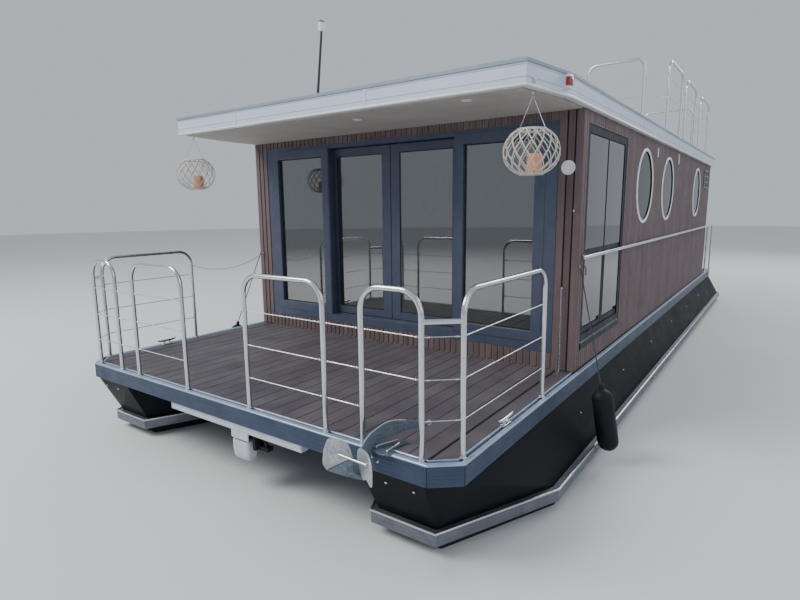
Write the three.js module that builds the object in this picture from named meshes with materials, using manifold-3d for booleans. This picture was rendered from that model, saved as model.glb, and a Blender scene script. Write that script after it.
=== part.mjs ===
// A twin-pontoon houseboat: two hulls under one deck, a glazed and timber-clad cabin, a roof
// terrace behind stainless hoops, and an open deck at the bow and at the stern.
//
// Millimetres. X points to port, Y aft and Z up. The boat is drawn from the bow edge of its deck
// (Y = 0) at the level of the deck's edge (Z = 0), and moved to its own origin at the end.

import * as THREE from 'three';
import { mergeVertices } from 'three/addons/utils/BufferGeometryUtils.js';
import { ConvexGeometry } from 'three/addons/geometries/ConvexGeometry.js';
import Module from 'manifold-3d';

const wasm = await Module();
wasm.setup();

// Driving dimensions

const GAP = 0.3;               // clearance between pieces that rest against each other
const MIDSHIP = 6325;          // halfway between the anchor's palm and the propeller's boss

const DECK = {
  halfBeam: 2145, length: 12300, bandDepth: 140, bandWidth: 56, trayFloor: -28,
  cornerX: 179, cornerY: 149, beamDepth: 90, beams: [400, 2300, 4200, 6100, 8000, 9900, 11800],
  cleatX: 2083, cleats: [854, 11950],
};
const HULL = {
  centreX: 1677, keel: -1200, bilge: -960, railTop: -533, railBottom: -625, railWidth: 52,
  noseHalf: 260, beltHalf: 708, noseY: 152, shoulderY: 1140, sternY: 12240,
};
const CABIN = {
  front: 2301, aft: 11200, halfWidth: 2088, wall: 150, top: 2380, soffit: 2318, floorTop: 22,
};
const ROOF = {
  front: 1170, aft: 11500, halfWidth: 2138, top: 2501, rim: 48, rimBottom: 2324,
  cornerX: 105, cornerY: 641,
};
const FRONT_FRAME = { half: 1880, z0: 153, z1: 2240 };
const SIDE_WINDOW = { y0: 2420, y1: 3820, z0: 250, z1: 2211 };
const PORTHOLE = { radius: 450, barrel: 418, sight: 388, z: 1740, places: [4790, 6320, 9320] };
const STERN_DOORWAY = { half: 450, z0: 60, z1: 2080 };
const TUBE = { radius: 17, wire: 4, sides: 8, bend: 150, bendSteps: 5 };

const FINISHES = {
  hull: { color: 0x23262b, roughness: 0.45, metalness: 0.1 },
  strip: { color: 0x9aa0a8, roughness: 0.4, metalness: 0.7 },
  band: { color: 0x5b6f8c, roughness: 0.4, metalness: 0.6 },
  boards: { color: 0x6f5f5c, roughness: 0.8, metalness: 0 },
  cladding: { color: 0x5d4640, roughness: 0.8, metalness: 0 },
  fascia: { color: 0xc9d3df, roughness: 0.35, metalness: 0.2 },
  soffit: { color: 0x8f877f, roughness: 0.8, metalness: 0 },
  frame: { color: 0x2f3a4a, roughness: 0.4, metalness: 0.3 },
  glass: { color: 0x35434a, roughness: 0.08, metalness: 0 },
  steel: { color: 0xc2c6cc, roughness: 0.25, metalness: 1 },
  ring: { color: 0xe6e8ea, roughness: 0.3, metalness: 0.3 },
  rubber: { color: 0x16181b, roughness: 0.7, metalness: 0 },
  wicker: { color: 0xb9aa94, roughness: 0.8, metalness: 0 },
  motor: { color: 0x1d2024, roughness: 0.35, metalness: 0.1 },
  white: { color: 0xe3e6e8, roughness: 0.4, metalness: 0 },
  galvanised: { color: 0x98a0a4, roughness: 0.5, metalness: 0.8 },
  floor: { color: 0x7a6a5c, roughness: 0.7, metalness: 0 },
};

// Solid modelling

function toSolid(geometry) {
  const bare = new THREE.BufferGeometry();
  bare.setAttribute('position', geometry.getAttribute('position'));
  if (geometry.index) bare.setIndex(geometry.index);
  const merged = mergeVertices(bare, 1e-3);
  return new wasm.Manifold(new wasm.Mesh({
    numProp: 3,
    vertProperties: new Float32Array(merged.getAttribute('position').array),
    triVerts: new Uint32Array(merged.index.array),
  }));
}

function toGeometry(solid) {
  const { vertProperties, triVerts } = solid.getMesh();
  const geometry = new THREE.BufferGeometry();
  geometry.setAttribute('position', new THREE.BufferAttribute(vertProperties, 3));
  geometry.setIndex(new THREE.BufferAttribute(triVerts, 1));
  return geometry;
}

// The same body on the other side of the boat: X changes sign and each face is wound back.
function mirrored(geometry) {
  const copy = geometry.clone();
  copy.scale(-1, 1, 1);
  const { array } = copy.index;
  for (let i = 0; i < array.length; i += 3) {
    [array[i], array[i + 1]] = [array[i + 1], array[i]];
  }
  return copy;
}

const join = (...solids) => solids.flat(2).reduce((whole, next) => whole.add(next));

const cut = (solid, ...tools) => tools.flat(2).reduce((rest, tool) => rest.subtract(tool), solid);

function box(x0, x1, y0, y1, z0, z1) {
  const geometry = new THREE.BoxGeometry(x1 - x0, y1 - y0, z1 - z0);
  geometry.translate((x0 + x1) / 2, (y0 + y1) / 2, (z0 + z1) / 2);
  return toSolid(geometry);
}

// An upright prism over a plan outline of [x, y] points.
function plate(outline, z0, z1) {
  const shape = new THREE.Shape(outline.map(([x, y]) => new THREE.Vector2(x, y)));
  const geometry = new THREE.ExtrudeGeometry(shape, { depth: z1 - z0, bevelEnabled: false });
  geometry.translate(0, 0, z0);
  return toSolid(geometry);
}

// The convex body around a set of [x, y, z] points.
const hullOf = (points) => toSolid(
  new ConvexGeometry(points.map((point) => new THREE.Vector3(...point))),
);

// A body turned about an upright axis at (x, y); the profile lists [radius, height above z].
function turned(profile, x, y, z, segments = 16) {
  const geometry = new THREE.LatheGeometry(
    profile.map(([radius, height]) => new THREE.Vector2(radius, height)), segments,
  );
  geometry.rotateX(Math.PI / 2);
  geometry.translate(x, y, z);
  return toSolid(geometry);
}

// A disc that faces along X.
function disc(radius, x0, x1, y, z, segments = 32) {
  const geometry = new THREE.CylinderGeometry(radius, radius, x1 - x0, segments);
  geometry.rotateZ(Math.PI / 2);
  geometry.translate((x0 + x1) / 2, y, z);
  return toSolid(geometry);
}

// A path through corner points, with one arc at each corner and points only where it bends.
class BentPath extends THREE.Curve {
  constructor(corners, bend) {
    super();
    this.points = [corners[0]];
    for (let i = 1; i < corners.length - 1; i += 1) {
      const into = corners[i].clone().sub(corners[i - 1]).normalize();
      const out = corners[i + 1].clone().sub(corners[i]).normalize();
      const turn = into.angleTo(out);
      const side = out.clone().addScaledVector(into, -into.dot(out)).normalize();
      const centre = corners[i].clone()
        .addScaledVector(into, -bend * Math.tan(turn / 2))
        .addScaledVector(side, bend);
      for (let k = 0; k <= TUBE.bendSteps; k += 1) {
        const angle = (turn * k) / TUBE.bendSteps;
        this.points.push(centre.clone()
          .addScaledVector(side, -bend * Math.cos(angle))
          .addScaledVector(into, bend * Math.sin(angle)));
      }
    }
    this.points.push(corners[corners.length - 1]);
  }

  getPointAt(u) {
    return this.points[Math.round(u * (this.points.length - 1))].clone();
  }

  getTangentAt(u, target = new THREE.Vector3()) {
    const last = this.points.length - 1;
    const i = Math.round(u * last);
    const before = this.points[Math.max(i - 1, 0)];
    return target.copy(this.points[Math.min(i + 1, last)]).sub(before).normalize();
  }
}

function tube(corners, radius, bend = TUBE.bend, sides = TUBE.sides) {
  const path = new BentPath(corners.map((corner) => new THREE.Vector3(...corner)), bend);
  const section = Array.from({ length: sides }, (_, k) => {
    const angle = (2 * Math.PI * (k + 0.5)) / sides;
    return new THREE.Vector2(radius * Math.cos(angle), radius * Math.sin(angle));
  });
  return toSolid(new THREE.ExtrudeGeometry(new THREE.Shape(section), {
    steps: path.points.length - 1, extrudePath: path,
  }));
}

const rod = (from, to, radius, sides = TUBE.sides) => tube([from, to], radius, 0, sides);

const wire = (from, to) => rod(from, to, TUBE.wire, 6);

// An upright hoop on two feet, its corners bent to one radius.
const hoop = ([x0, y0], [x1, y1], z0, z1, bend = TUBE.bend) => tube(
  [[x0, y0, z0], [x0, y0, z1], [x1, y1, z1], [x1, y1, z0]], TUBE.radius, bend,
);

// Scene graph

const group = new THREE.Group();
const boat = new THREE.Group();
boat.position.set(0, -MIDSHIP, -HULL.keel);
group.add(boat);

function addMesh(name, geometry, finish, [x, y, z] = [0, 0, 0], turn = 0) {
  const mesh = new THREE.Mesh(geometry, new THREE.MeshStandardMaterial(FINISHES[finish]));
  mesh.name = name;
  mesh.position.set(x, y, z);
  mesh.rotation.z = turn;
  boat.add(mesh);
}

const addPiece = (name, solid, finish) => addMesh(name, toGeometry(solid), finish);

// The same piece on both sides of the boat, drawn to port.
function addPair(name, portSolid, finish) {
  const geometry = toGeometry(portSolid);
  addMesh(`${name}_port`, geometry, finish);
  addMesh(`${name}_starboard`, mirrored(geometry), finish);
}

// Hulls

// A pontoon's plan at one level: a blunt nose, two angled cheeks and straight sides.
function pontoonPlan(noseHalf, noseY, half, shoulderY, sternY) {
  const centre = HULL.centreX;
  return [
    [centre - noseHalf, noseY], [centre + noseHalf, noseY], [centre + half, shoulderY],
    [centre + half, sternY], [centre - half, sternY], [centre - half, shoulderY],
  ];
}

const atLevel = (plan, z) => plan.map(([x, y]) => [x, y, z]);

function addHulls() {
  const half = HULL.beltHalf - HULL.railWidth;
  const noseHalf = HULL.noseHalf - HULL.railWidth / 2;
  const noseY = HULL.noseY + HULL.railWidth;
  const sideTop = DECK.halfBeam - 28;
  const inner = HULL.centreX - half;
  const top = [
    [HULL.centreX - HULL.noseHalf, 12], [HULL.centreX + HULL.noseHalf, 12],
    [sideTop, DECK.cornerY + 12], [sideTop, HULL.sternY], [inner, HULL.sternY], [inner, 900],
  ];
  const belt = pontoonPlan(noseHalf, noseY, half, HULL.shoulderY + 15, HULL.sternY);
  const bilge = pontoonPlan(noseHalf - 20, 480, half - 30, 1400, HULL.sternY - 40);
  const keel = pontoonPlan(160, 1500, half - 190, 2300, HULL.sternY - 260);
  // plan, level; from the deck down to the flat bottom
  const sections = [
    [top, -DECK.bandDepth - GAP], [belt, HULL.railTop], [belt, HULL.railBottom],
    [bilge, HULL.bilge], [keel, HULL.keel],
  ].map(([plan, z]) => atLevel(plan, z));
  addPair('pontoon', join(
    sections.slice(1).map((lower, i) => hullOf([...sections[i], ...lower])),
  ), 'hull');

  const outline = pontoonPlan(
    HULL.noseHalf, HULL.noseY, HULL.beltHalf, HULL.shoulderY, HULL.sternY + 20,
  );
  const seat = pontoonPlan(
    noseHalf + GAP, noseY - GAP, half + GAP, HULL.shoulderY + 15, HULL.sternY + GAP,
  );
  addPair('rub_rail', cut(
    plate(outline, HULL.railBottom, HULL.railTop),
    plate(seat, HULL.railBottom - 10, HULL.railTop + 10),
  ), 'strip');
}

// Deck

function deckOutline(inset) {
  const x = DECK.halfBeam - inset;
  const cornerX = DECK.cornerX - inset * 0.4;
  const cornerY = DECK.cornerY - inset * 0.4;
  const aft = DECK.length - inset;
  return [
    [x - cornerX, inset], [x, inset + cornerY], [x, aft - cornerY], [x - cornerX, aft],
    [cornerX - x, aft], [-x, aft - cornerY], [-x, inset + cornerY], [cornerX - x, inset],
  ];
}

// A horn cleat: a base, a stem and two horns along the boat.
const cleat = (x, y) => [
  box(x - 22, x + 22, y - 70, y + 70, -4, 10),
  box(x - 14, x + 14, y - 30, y + 30, 8, 40),
  rod([x, y - 110, 44], [x, y + 110, 44], 13),
];

const ROLLER = { x0: 1515, x1: 1625, aft: 116, top: 12 };

function addDeck() {
  const tray = cut(
    plate(deckOutline(0), -DECK.bandDepth, 0),
    plate(deckOutline(DECK.bandWidth), DECK.trayFloor, 50),
  );
  const cleatPlaces = DECK.cleats.flatMap((y) => [[DECK.cleatX, y], [-DECK.cleatX, y]]);
  const chafePlate = box(ROLLER.x0, ROLLER.x1, 0, ROLLER.aft, -2, ROLLER.top);
  addPiece('deck_frame', join(
    tray, cleatPlaces.map(([x, y]) => cleat(x, y)), chafePlate,
  ), 'band');

  const tunnelHalf = HULL.centreX - HULL.beltHalf - 20;
  const beamTop = -DECK.bandDepth - GAP;
  const beamBottom = beamTop - DECK.beamDepth;
  const lastBeam = DECK.beams[DECK.beams.length - 1];
  addPiece('deck_beams', join(
    DECK.beams.map((y) => box(-tunnelHalf, tunnelHalf, y - 40, y + 40, beamBottom, beamTop)),
    [1, -1].map((side) => box(
      side * (tunnelHalf - 50) - 30, side * (tunnelHalf - 50) + 30, DECK.beams[0], lastBeam,
      beamBottom + 8, beamTop - 2,
    )),
  ), 'band');

  const boards = cut(
    plate(deckOutline(DECK.bandWidth + GAP), DECK.trayFloor + GAP, 0),
    cleatPlaces.map(([x, y]) => box(x - 23, x + 23, y - 71, y + 71, -10, 10)),
    box(ROLLER.x0 - 1, ROLLER.x1 + 1, 0, ROLLER.aft + 1, -10, 10),
  );
  const bow = box(-3000, 3000, -100, CABIN.front - GAP, -100, 100);
  const stern = box(-3000, 3000, CABIN.aft + GAP, 13000, -100, 100);
  addPiece('bow_deck', boards.intersect(bow), 'boards');
  addPiece('stern_deck', boards.intersect(stern), 'boards');
}

// Cabin shell: the side walls run from corner to corner, and the end walls stand between them

function addWalls() {
  const { front, aft, halfWidth, wall } = CABIN;
  const foot = DECK.trayFloor + GAP;
  const head = CABIN.top - GAP;
  const inner = halfWidth - wall;
  const w = SIDE_WINDOW;
  addPair('wall', cut(
    box(inner, halfWidth, front, aft, foot, head),
    box(inner - 10, halfWidth + 10, w.y0, w.y1, w.z0, w.z1),
    PORTHOLE.places.map((y) => disc(
      PORTHOLE.barrel, inner - 10, halfWidth + 10, y, PORTHOLE.z,
    )),
  ), 'cladding');

  const endHalf = inner - GAP;
  addPiece('wall_front', cut(
    box(-endHalf, endHalf, front, front + wall, foot, head),
    box(
      -FRONT_FRAME.half, FRONT_FRAME.half, front - 10, front + wall + 10,
      FRONT_FRAME.z0, FRONT_FRAME.z1,
    ),
  ), 'cladding');

  const d = STERN_DOORWAY;
  addPiece('wall_aft', cut(
    box(-endHalf, endHalf, aft - wall, aft, foot, head),
    box(-d.half, d.half, aft - wall - 10, aft + 10, d.z0, d.z1),
  ), 'cladding');

  addPiece('cabin_floor', box(
    -endHalf, endHalf, front + wall + GAP, aft - wall - GAP, foot, CABIN.floorTop,
  ), 'floor');
}

function addRoof() {
  const plan = (inset) => {
    const x = ROOF.halfWidth - inset;
    return [
      [ROOF.cornerX - x, ROOF.front + inset], [x - ROOF.cornerX, ROOF.front + inset],
      [x, ROOF.front + ROOF.cornerY], [x, ROOF.aft - inset],
      [-x, ROOF.aft - inset], [-x, ROOF.front + ROOF.cornerY],
    ];
  };
  addPiece('roof', cut(
    plate(plan(0), ROOF.rimBottom, ROOF.top),
    plate(plan(ROOF.rim), ROOF.rimBottom - 10, CABIN.top),
  ), 'fascia');

  const frontHalf = 1975;
  const sideHalf = 2075;
  const panelFront = ROOF.front + 60;
  const panelAft = CABIN.front - GAP;
  addPiece('soffit', plate([
    [-frontHalf, panelFront], [frontHalf, panelFront], [sideHalf, ROOF.front + ROOF.cornerY],
    [sideHalf, panelAft], [-sideHalf, panelAft], [-sideHalf, ROOF.front + ROOF.cornerY],
  ], CABIN.soffit, CABIN.top - GAP), 'soffit');
}

// Front glazing: two fixed panes, and between them two leaves that slide outwards behind them

const BAY = {
  portJamb: 1668, starboardJamb: -1690, portMullion: 830, starboardMullion: -846, mullion: 105,
  slotHalf: 1790, slotY: 2383, paneBottom: 340, paneTop: 2105, top: 2190, sill: 240,
  slotFloor: 250, trackTop: 258,
};
const LEAF = {
  y0: 2393, y1: 2443, top: 2182, stile: 115, rail: 84, foot: 82, meeting: -22, play: 4,
  portEdge: 875, starboardEdge: -919, pull: 57, pullOut: 45, pullLow: 1080, pullHigh: 1360,
};

function addFrontGlazing() {
  const y0 = CABIN.front - 5;
  const y1 = CABIN.front + CABIN.wall;
  const half = FRONT_FRAME.half - GAP;
  const slotHalf = BAY.slotHalf;
  // name, starboard edge, port edge
  const fixedPanes = [
    ['front_glass_port', BAY.portMullion + BAY.mullion, BAY.portJamb],
    ['front_glass_starboard', BAY.starboardJamb, BAY.starboardMullion - BAY.mullion],
  ];
  const frame = cut(
    box(-half, half, y0, y1, FRONT_FRAME.z0 + GAP, FRONT_FRAME.z1 - GAP),
    box(-slotHalf, slotHalf, BAY.slotY, y1 + 10, BAY.slotFloor, BAY.top),
    box(BAY.starboardMullion, BAY.portMullion, y0 - 10, BAY.slotY + 1, BAY.sill, BAY.top),
    fixedPanes.map(([, x0, x1]) => (
      box(x0, x1, y0 - 10, BAY.slotY + 1, BAY.paneBottom, BAY.paneTop)
    )),
  );
  const trackY = (LEAF.y0 + LEAF.y1) / 2;
  const track = box(
    -slotHalf, slotHalf, trackY - 5, trackY + 5, BAY.slotFloor - 1, BAY.trackTop,
  );
  addPiece('front_frame', join(frame, track), 'frame');

  const paneY = CABIN.front + 30;
  for (const [name, x0, x1] of fixedPanes) {
    addPiece(name, box(
      x0 + GAP, x1 - GAP, paneY, paneY + 24, BAY.paneBottom + GAP, BAY.paneTop - GAP,
    ), 'glass');
  }

  // side, outer edge, meeting edge
  const leaves = [
    ['port', LEAF.portEdge, LEAF.meeting + LEAF.play],
    ['starboard', LEAF.starboardEdge, LEAF.meeting - LEAF.play],
  ];
  const z0 = BAY.trackTop + GAP;
  const lightZ0 = z0 + LEAF.foot;
  const lightZ1 = LEAF.top - LEAF.rail;
  for (const [side, outer, meeting] of leaves) {
    const x0 = Math.min(outer, meeting);
    const x1 = Math.max(outer, meeting);
    const lightX0 = x0 + LEAF.stile;
    const lightX1 = x1 - LEAF.stile;
    const pullX = meeting + Math.sign(outer - meeting) * LEAF.pull;
    const pullY = LEAF.y1 + LEAF.pullOut;
    addPiece(`slide_leaf_${side}`, join(
      cut(
        box(x0, x1, LEAF.y0, LEAF.y1, z0, LEAF.top),
        box(lightX0, lightX1, LEAF.y0 - 10, LEAF.y1 + 10, lightZ0, lightZ1),
      ),
      rod([pullX, pullY, LEAF.pullLow], [pullX, pullY, LEAF.pullHigh], 11),
      [LEAF.pullLow + 30, LEAF.pullHigh - 30].map((z) => (
        rod([pullX, LEAF.y1 - 5, z], [pullX, pullY, z], 8)
      )),
    ), 'frame');
    addPiece(`slide_glass_${side}`, box(
      lightX0 + GAP, lightX1 - GAP, LEAF.y0 + 13, LEAF.y1 - 13, lightZ0 + GAP, lightZ1 - GAP,
    ), 'glass');
  }
}

// Tall side windows: a frame with a sill, and two leaves that open inwards on pin hinges

const CASEMENT = {
  bar: 55, lip: 70, back: 2022, thick: 60, play: 6, meet: 8, stile: 58, foot: 60,
  axisOut: 11, transomZ0: 1055, transomZ1: 1125, hinges: [520, 1900],
};
const PIN = { radius: 10, half: 60, split: 0.5, reach: 26, play: 3.5 };

// A hinge half on an upright pin: a barrel, and a flap that reaches the piece it serves.
function hingeHalf(x, y, z, [flapX0, flapX1], [flapY0, flapY1]) {
  return join(
    rod([x, y, z], [x, y, z + PIN.half], PIN.radius, 12),
    box(flapX0, flapX1, flapY0, flapY1, z + 4, z + PIN.half - 4),
  );
}

function addSideWindows() {
  const w = SIDE_WINDOW;
  const c = CASEMENT;
  const face = CABIN.halfWidth + 5;
  const openY0 = w.y0 + c.bar;
  const openY1 = w.y1 - c.bar;
  const z0 = w.z0 + c.bar + c.play;
  const z1 = w.z1 - c.bar - c.play;
  const front = c.back + c.thick;
  const axisX = c.back - c.axisOut;
  const flapX = [axisX, c.back + 4];
  const middle = (w.y0 + w.y1) / 2;
  const upperHalf = PIN.half + PIN.split;
  // name, hinged edge, meeting edge
  const leaves = [
    ['forward', openY0 + c.play, middle - c.meet],
    ['aft', openY1 - c.play, middle + c.meet],
  ];
  const fixedHalves = [];
  for (const [name, hinged, meeting] of leaves) {
    const inward = Math.sign(meeting - hinged);
    const axisY = hinged - (inward * c.play) / 2;
    const flapY = (way) => [axisY + way * PIN.play, axisY + way * PIN.reach].sort((a, b) => a - b);
    fixedHalves.push(c.hinges.map((z) => (
      hingeHalf(axisX, axisY, z + upperHalf, flapX, flapY(-inward))
    )));
    const y0 = Math.min(hinged, meeting);
    const y1 = Math.max(hinged, meeting);
    const light = [y0 + c.stile, y1 - c.stile, z0 + c.foot, z1 - c.stile];
    const [lightY0, lightY1, lightZ0, lightZ1] = light;
    const glassX0 = c.back + 26;
    const glassX1 = c.back + 50;
    addPair(`side_leaf_${name}`, join(
      cut(
        box(c.back, front, y0, y1, z0, z1),
        box(c.back - 5, front + 5, ...light),
      ),
      box(glassX1 + GAP, front, lightY0 - 5, lightY1 + 5, c.transomZ0, c.transomZ1),
      c.hinges.map((z) => hingeHalf(axisX, axisY, z, flapX, flapY(inward))),
    ), 'frame');
    addPair(`side_glass_${name}`, box(
      glassX0, glassX1, lightY0 + GAP, lightY1 - GAP, lightZ0 + GAP, lightZ1 - GAP,
    ), 'glass');
  }

  const lipX = front + c.play;
  const frame = cut(
    box(c.back, face, w.y0 + GAP, w.y1 - GAP, w.z0 + GAP, w.z1 - GAP),
    box(c.back - 10, lipX, openY0, openY1, w.z0 + c.bar, w.z1 - c.bar),
    box(lipX - 1, face + 10, w.y0 + c.lip, w.y1 - c.lip, w.z0 + c.lip, w.z1 - c.lip),
  );
  const wallFace = CABIN.halfWidth + GAP;
  const sill = hullOf([w.y0 + 10, w.y1 - 10].flatMap((y) => [
    [wallFace, y, w.z0 + 12], [wallFace, y, w.z0 - 60],
    [wallFace + 18, y, w.z0 - 4], [wallFace + 18, y, w.z0 - 60],
  ]));
  addPair('side_frame', join(frame, sill, fixedHalves), 'frame');
}

// Round windows: a ring on the wall, a barrel through it and the pane between them

function addPortholes() {
  const p = PORTHOLE;
  const barrel = p.barrel - GAP;
  const unit = toGeometry(cut(
    join(disc(p.radius, GAP, 14, 0, 0), disc(barrel, -CABIN.wall, 1, 0, 0)),
    disc(p.sight, -40, 30, 0, 0),
    disc(p.sight, -CABIN.wall - 10, -64, 0, 0),
  ));
  p.places.forEach((y, i) => {
    addMesh(`porthole_port_${i + 1}`, unit, 'ring', [CABIN.halfWidth, y, p.z]);
    addMesh(`porthole_starboard_${i + 1}`, unit, 'ring', [-CABIN.halfWidth, y, p.z], Math.PI);
  });
}

// Stern door: one glazed leaf, hinged on its starboard edge and opening aft

const STERN_DOOR = {
  lining: 20, recess: 20, play: 6, thick: 60, stile: 105, foot: 160, head: 105, axisOut: 11,
  hinges: [340, 1700], leverZ: 1050, leverIn: 52, leverLength: 118,
};

function addSternDoor() {
  const d = STERN_DOOR;
  const way = STERN_DOORWAY;
  const face = CABIN.aft - d.recess;
  const inset = d.lining + d.play;
  const x0 = -way.half + inset;
  const x1 = way.half - inset;
  const z0 = way.z0 + inset;
  const z1 = way.z1 - inset;
  const axisX = x0 - d.play / 2;
  const axisY = face + d.axisOut;
  const flapY = [face - 4, axisY];
  const light = [x0 + d.stile, x1 - d.stile];
  const lever = x1 - d.leverIn;
  addPiece('stern_door_leaf', join(
    cut(
      box(x0, x1, face - d.thick, face, z0, z1),
      box(...light, face - d.thick - 5, face + 5, z0 + d.foot, z1 - d.head),
    ),
    d.hinges.map((z) => (
      hingeHalf(axisX, axisY, z, [axisX + PIN.play, axisX + PIN.reach], flapY)
    )),
    rod([lever, face - 5, d.leverZ], [lever, face + 45, d.leverZ], 9),
    rod([lever + 9, face + 45, d.leverZ], [lever - d.leverLength, face + 45, d.leverZ], 9),
  ), 'frame');
  addPiece('stern_door_glass', box(
    light[0] + GAP, light[1] - GAP, face - 42, face - 18, z0 + d.foot + GAP, z1 - d.head - GAP,
  ), 'glass');

  const outer = way.half - GAP;
  const clear = way.half - d.lining;
  addPiece('stern_door_frame', join(
    cut(
      box(-outer, outer, CABIN.aft - CABIN.wall, face, way.z0 + GAP, way.z1 - GAP),
      box(
        -clear, clear, CABIN.aft - CABIN.wall - 10, face + 10,
        way.z0 + d.lining, way.z1 - d.lining,
      ),
    ),
    d.hinges.map((z) => hingeHalf(
      axisX, axisY, z + PIN.half + PIN.split, [-outer + 2, axisX - PIN.play], flapY,
    )),
  ), 'frame');
}

// Rails round the open decks

const BOW_RAIL = {
  top: 1030, lineY: 50, sideX: 2090, sideStart: 215, linkZ: 850, wires: [245, 500, 760],
};
// hoops: inner foot, outer foot, from the gangway out; lowEnd: where the lowest wire stops
const BOW_RAIL_SIDES = [
  { name: 'port', sign: 1, hoops: [[330, 1122], [1448, 1902]], lowEnd: 1448, sideEnd: 1515 },
  { name: 'starboard', sign: -1, hoops: [[468, 1225], [1530, 1930]], lowEnd: 1930, sideEnd: 1240 },
];

function addBowRails() {
  const { top, lineY, sideX, sideStart, linkZ, wires } = BOW_RAIL;
  for (const { name, sign, hoops, lowEnd, sideEnd } of BOW_RAIL_SIDES) {
    const inner = sign * hoops[0][0];
    const outer = sign * hoops[1][1];
    const side = sign * sideX;
    addPiece(`bow_rail_${name}`, join(
      hoops.map(([a, b]) => hoop([sign * a, lineY], [sign * b, lineY], GAP, top)),
      hoop([side, sideStart], [side, sideEnd], GAP, top),
      rod([outer, lineY, linkZ], [side, sideStart, linkZ], TUBE.radius),
      wires.map((z, level) => [
        wire([inner, lineY, z], [level === 0 ? sign * lowEnd : outer, lineY, z]),
        wire([outer, lineY, z], [side, sideStart, z]),
        wire([side, sideStart, z], [side, sideEnd, z]),
      ]),
    ), 'steel');
  }
}

// A handrail along each side of the cabin that ends in a post, and a hoop across the stern
const SIDE_RAIL = {
  x: 2126, z: 1050, front: 2418, aft: 12180, bend: 90, post: 11330,
  sternY: 12250, sternInner: 1150, sternOuter: 1930, frameBracket: 2448,
  brackets: [3880, 5550, 7700, 9900, 11100],
};

function addSideRails() {
  const r = SIDE_RAIL;
  const bracket = (wallX, y) => rod([wallX + GAP, y, r.z], [r.x, y, r.z], 9, 6);
  addPair('side_rail', join(
    tube([[r.x, r.front, r.z], [r.x, r.aft, r.z], [r.x, r.aft, GAP]], TUBE.radius, r.bend),
    bracket(CABIN.halfWidth + 5, r.frameBracket),
    r.brackets.map((y) => bracket(CABIN.halfWidth, y)),
    rod([r.x, r.post, GAP], [r.x, r.post, r.z], TUBE.radius),
    BOW_RAIL.wires.map((z) => wire([r.x, r.post, z], [r.x, r.aft, z])),
  ), 'steel');

  // the stern wires end at the corner post's skin
  const reach = (TUBE.radius + GAP) / Math.hypot(r.x - r.sternOuter, r.aft - r.sternY);
  const endX = r.x + (r.sternOuter - r.x) * reach;
  const endY = r.aft + (r.sternY - r.aft) * reach;
  addPair('stern_rail', join(
    hoop([r.sternOuter, r.sternY], [r.sternInner, r.sternY], GAP, BOW_RAIL.top),
    BOW_RAIL.wires.map((z) => [
      wire([r.sternInner, r.sternY, z], [r.sternOuter, r.sternY, z]),
      wire([r.sternOuter, r.sternY, z], [endX, endY, z]),
    ]),
  ), 'steel');
}

const ROOF_RAIL = {
  top: 3430, bend: 120, x: 2095, foreY: 5750, aftY: 10330, wires: [2820, 3130],
  sideHoops: [[5900, 6970], [7400, 8410], [9060, 10180]],
  crossHoop: [1050, 1780], middle: 400,
};

function addRoofRail() {
  const r = ROOF_RAIL;
  const foot = ROOF.top + GAP;
  const roofHoop = (from, to) => hoop(from, to, foot, r.top, r.bend);
  const [crossInner, crossOuter] = r.crossHoop;
  const first = r.sideHoops[0][0];
  const last = r.sideHoops[r.sideHoops.length - 1][1];
  addPiece('roof_rail', join(
    [1, -1].flatMap((side) => [
      r.sideHoops.map(([y0, y1]) => roofHoop([side * r.x, y0], [side * r.x, y1])),
      roofHoop([side * crossInner, r.foreY], [side * crossOuter, r.foreY]),
    ]),
    [r.foreY, r.aftY].map((y) => roofHoop([-r.middle, y], [r.middle, y])),
    roofHoop([crossInner, r.aftY], [crossOuter, r.aftY]),
    r.wires.map((z) => [
      wire([-crossOuter, r.foreY, z], [crossOuter, r.foreY, z]),
      wire([-r.middle, r.aftY, z], [crossOuter, r.aftY, z]),
      wire([crossOuter, r.aftY, z], [r.x, last, z]),
      ...[1, -1].flatMap((side) => [
        wire([side * crossOuter, r.foreY, z], [side * r.x, first, z]),
        wire([side * r.x, first, z], [side * r.x, last, z]),
      ]),
    ]),
  ), 'steel');
}

// A fixed ladder from the stern deck to the gap in the roof rail
const LADDER = {
  x0: -1520, x1: -1120, y: 11640, landing: 11220, top: 3300, bend: 150,
  rungs: 8, pitch: 290, first: 260, stayZ: 1300,
};

function addLadder() {
  const l = LADDER;
  addPiece('roof_ladder', join(
    [l.x0, l.x1].map((x) => [
      tube([
        [x, l.y, GAP], [x, l.y, l.top], [x, l.landing, l.top], [x, l.landing, ROOF.top + GAP],
      ], TUBE.radius, l.bend),
      rod([x, CABIN.aft + GAP, l.stayZ], [x, l.y, l.stayZ], 12),
    ]),
    Array.from({ length: l.rungs }, (_, i) => l.first + i * l.pitch).map((z) => (
      rod([l.x0, l.y, z], [l.x1, l.y, z], 15)
    )),
  ), 'steel');
}

// Anchor: two palms that meet at the crown, a tie rod between them and a curved plate shank

// x, y, bottom, top; from the crown up over the bow edge and aft along the deck
const SHANK_STATIONS = [
  [1535, -112, -60, -8], [1553, -70, -62, 70], [1560, -24, -50, 106], [1563, -8, 12.3, 116],
  [1600, 110, 12.3, 158], [1660, 225, 30, 152], [1745, 345, 62, 116],
];
const SHANK_HALF_THICKNESS = 8;

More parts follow.
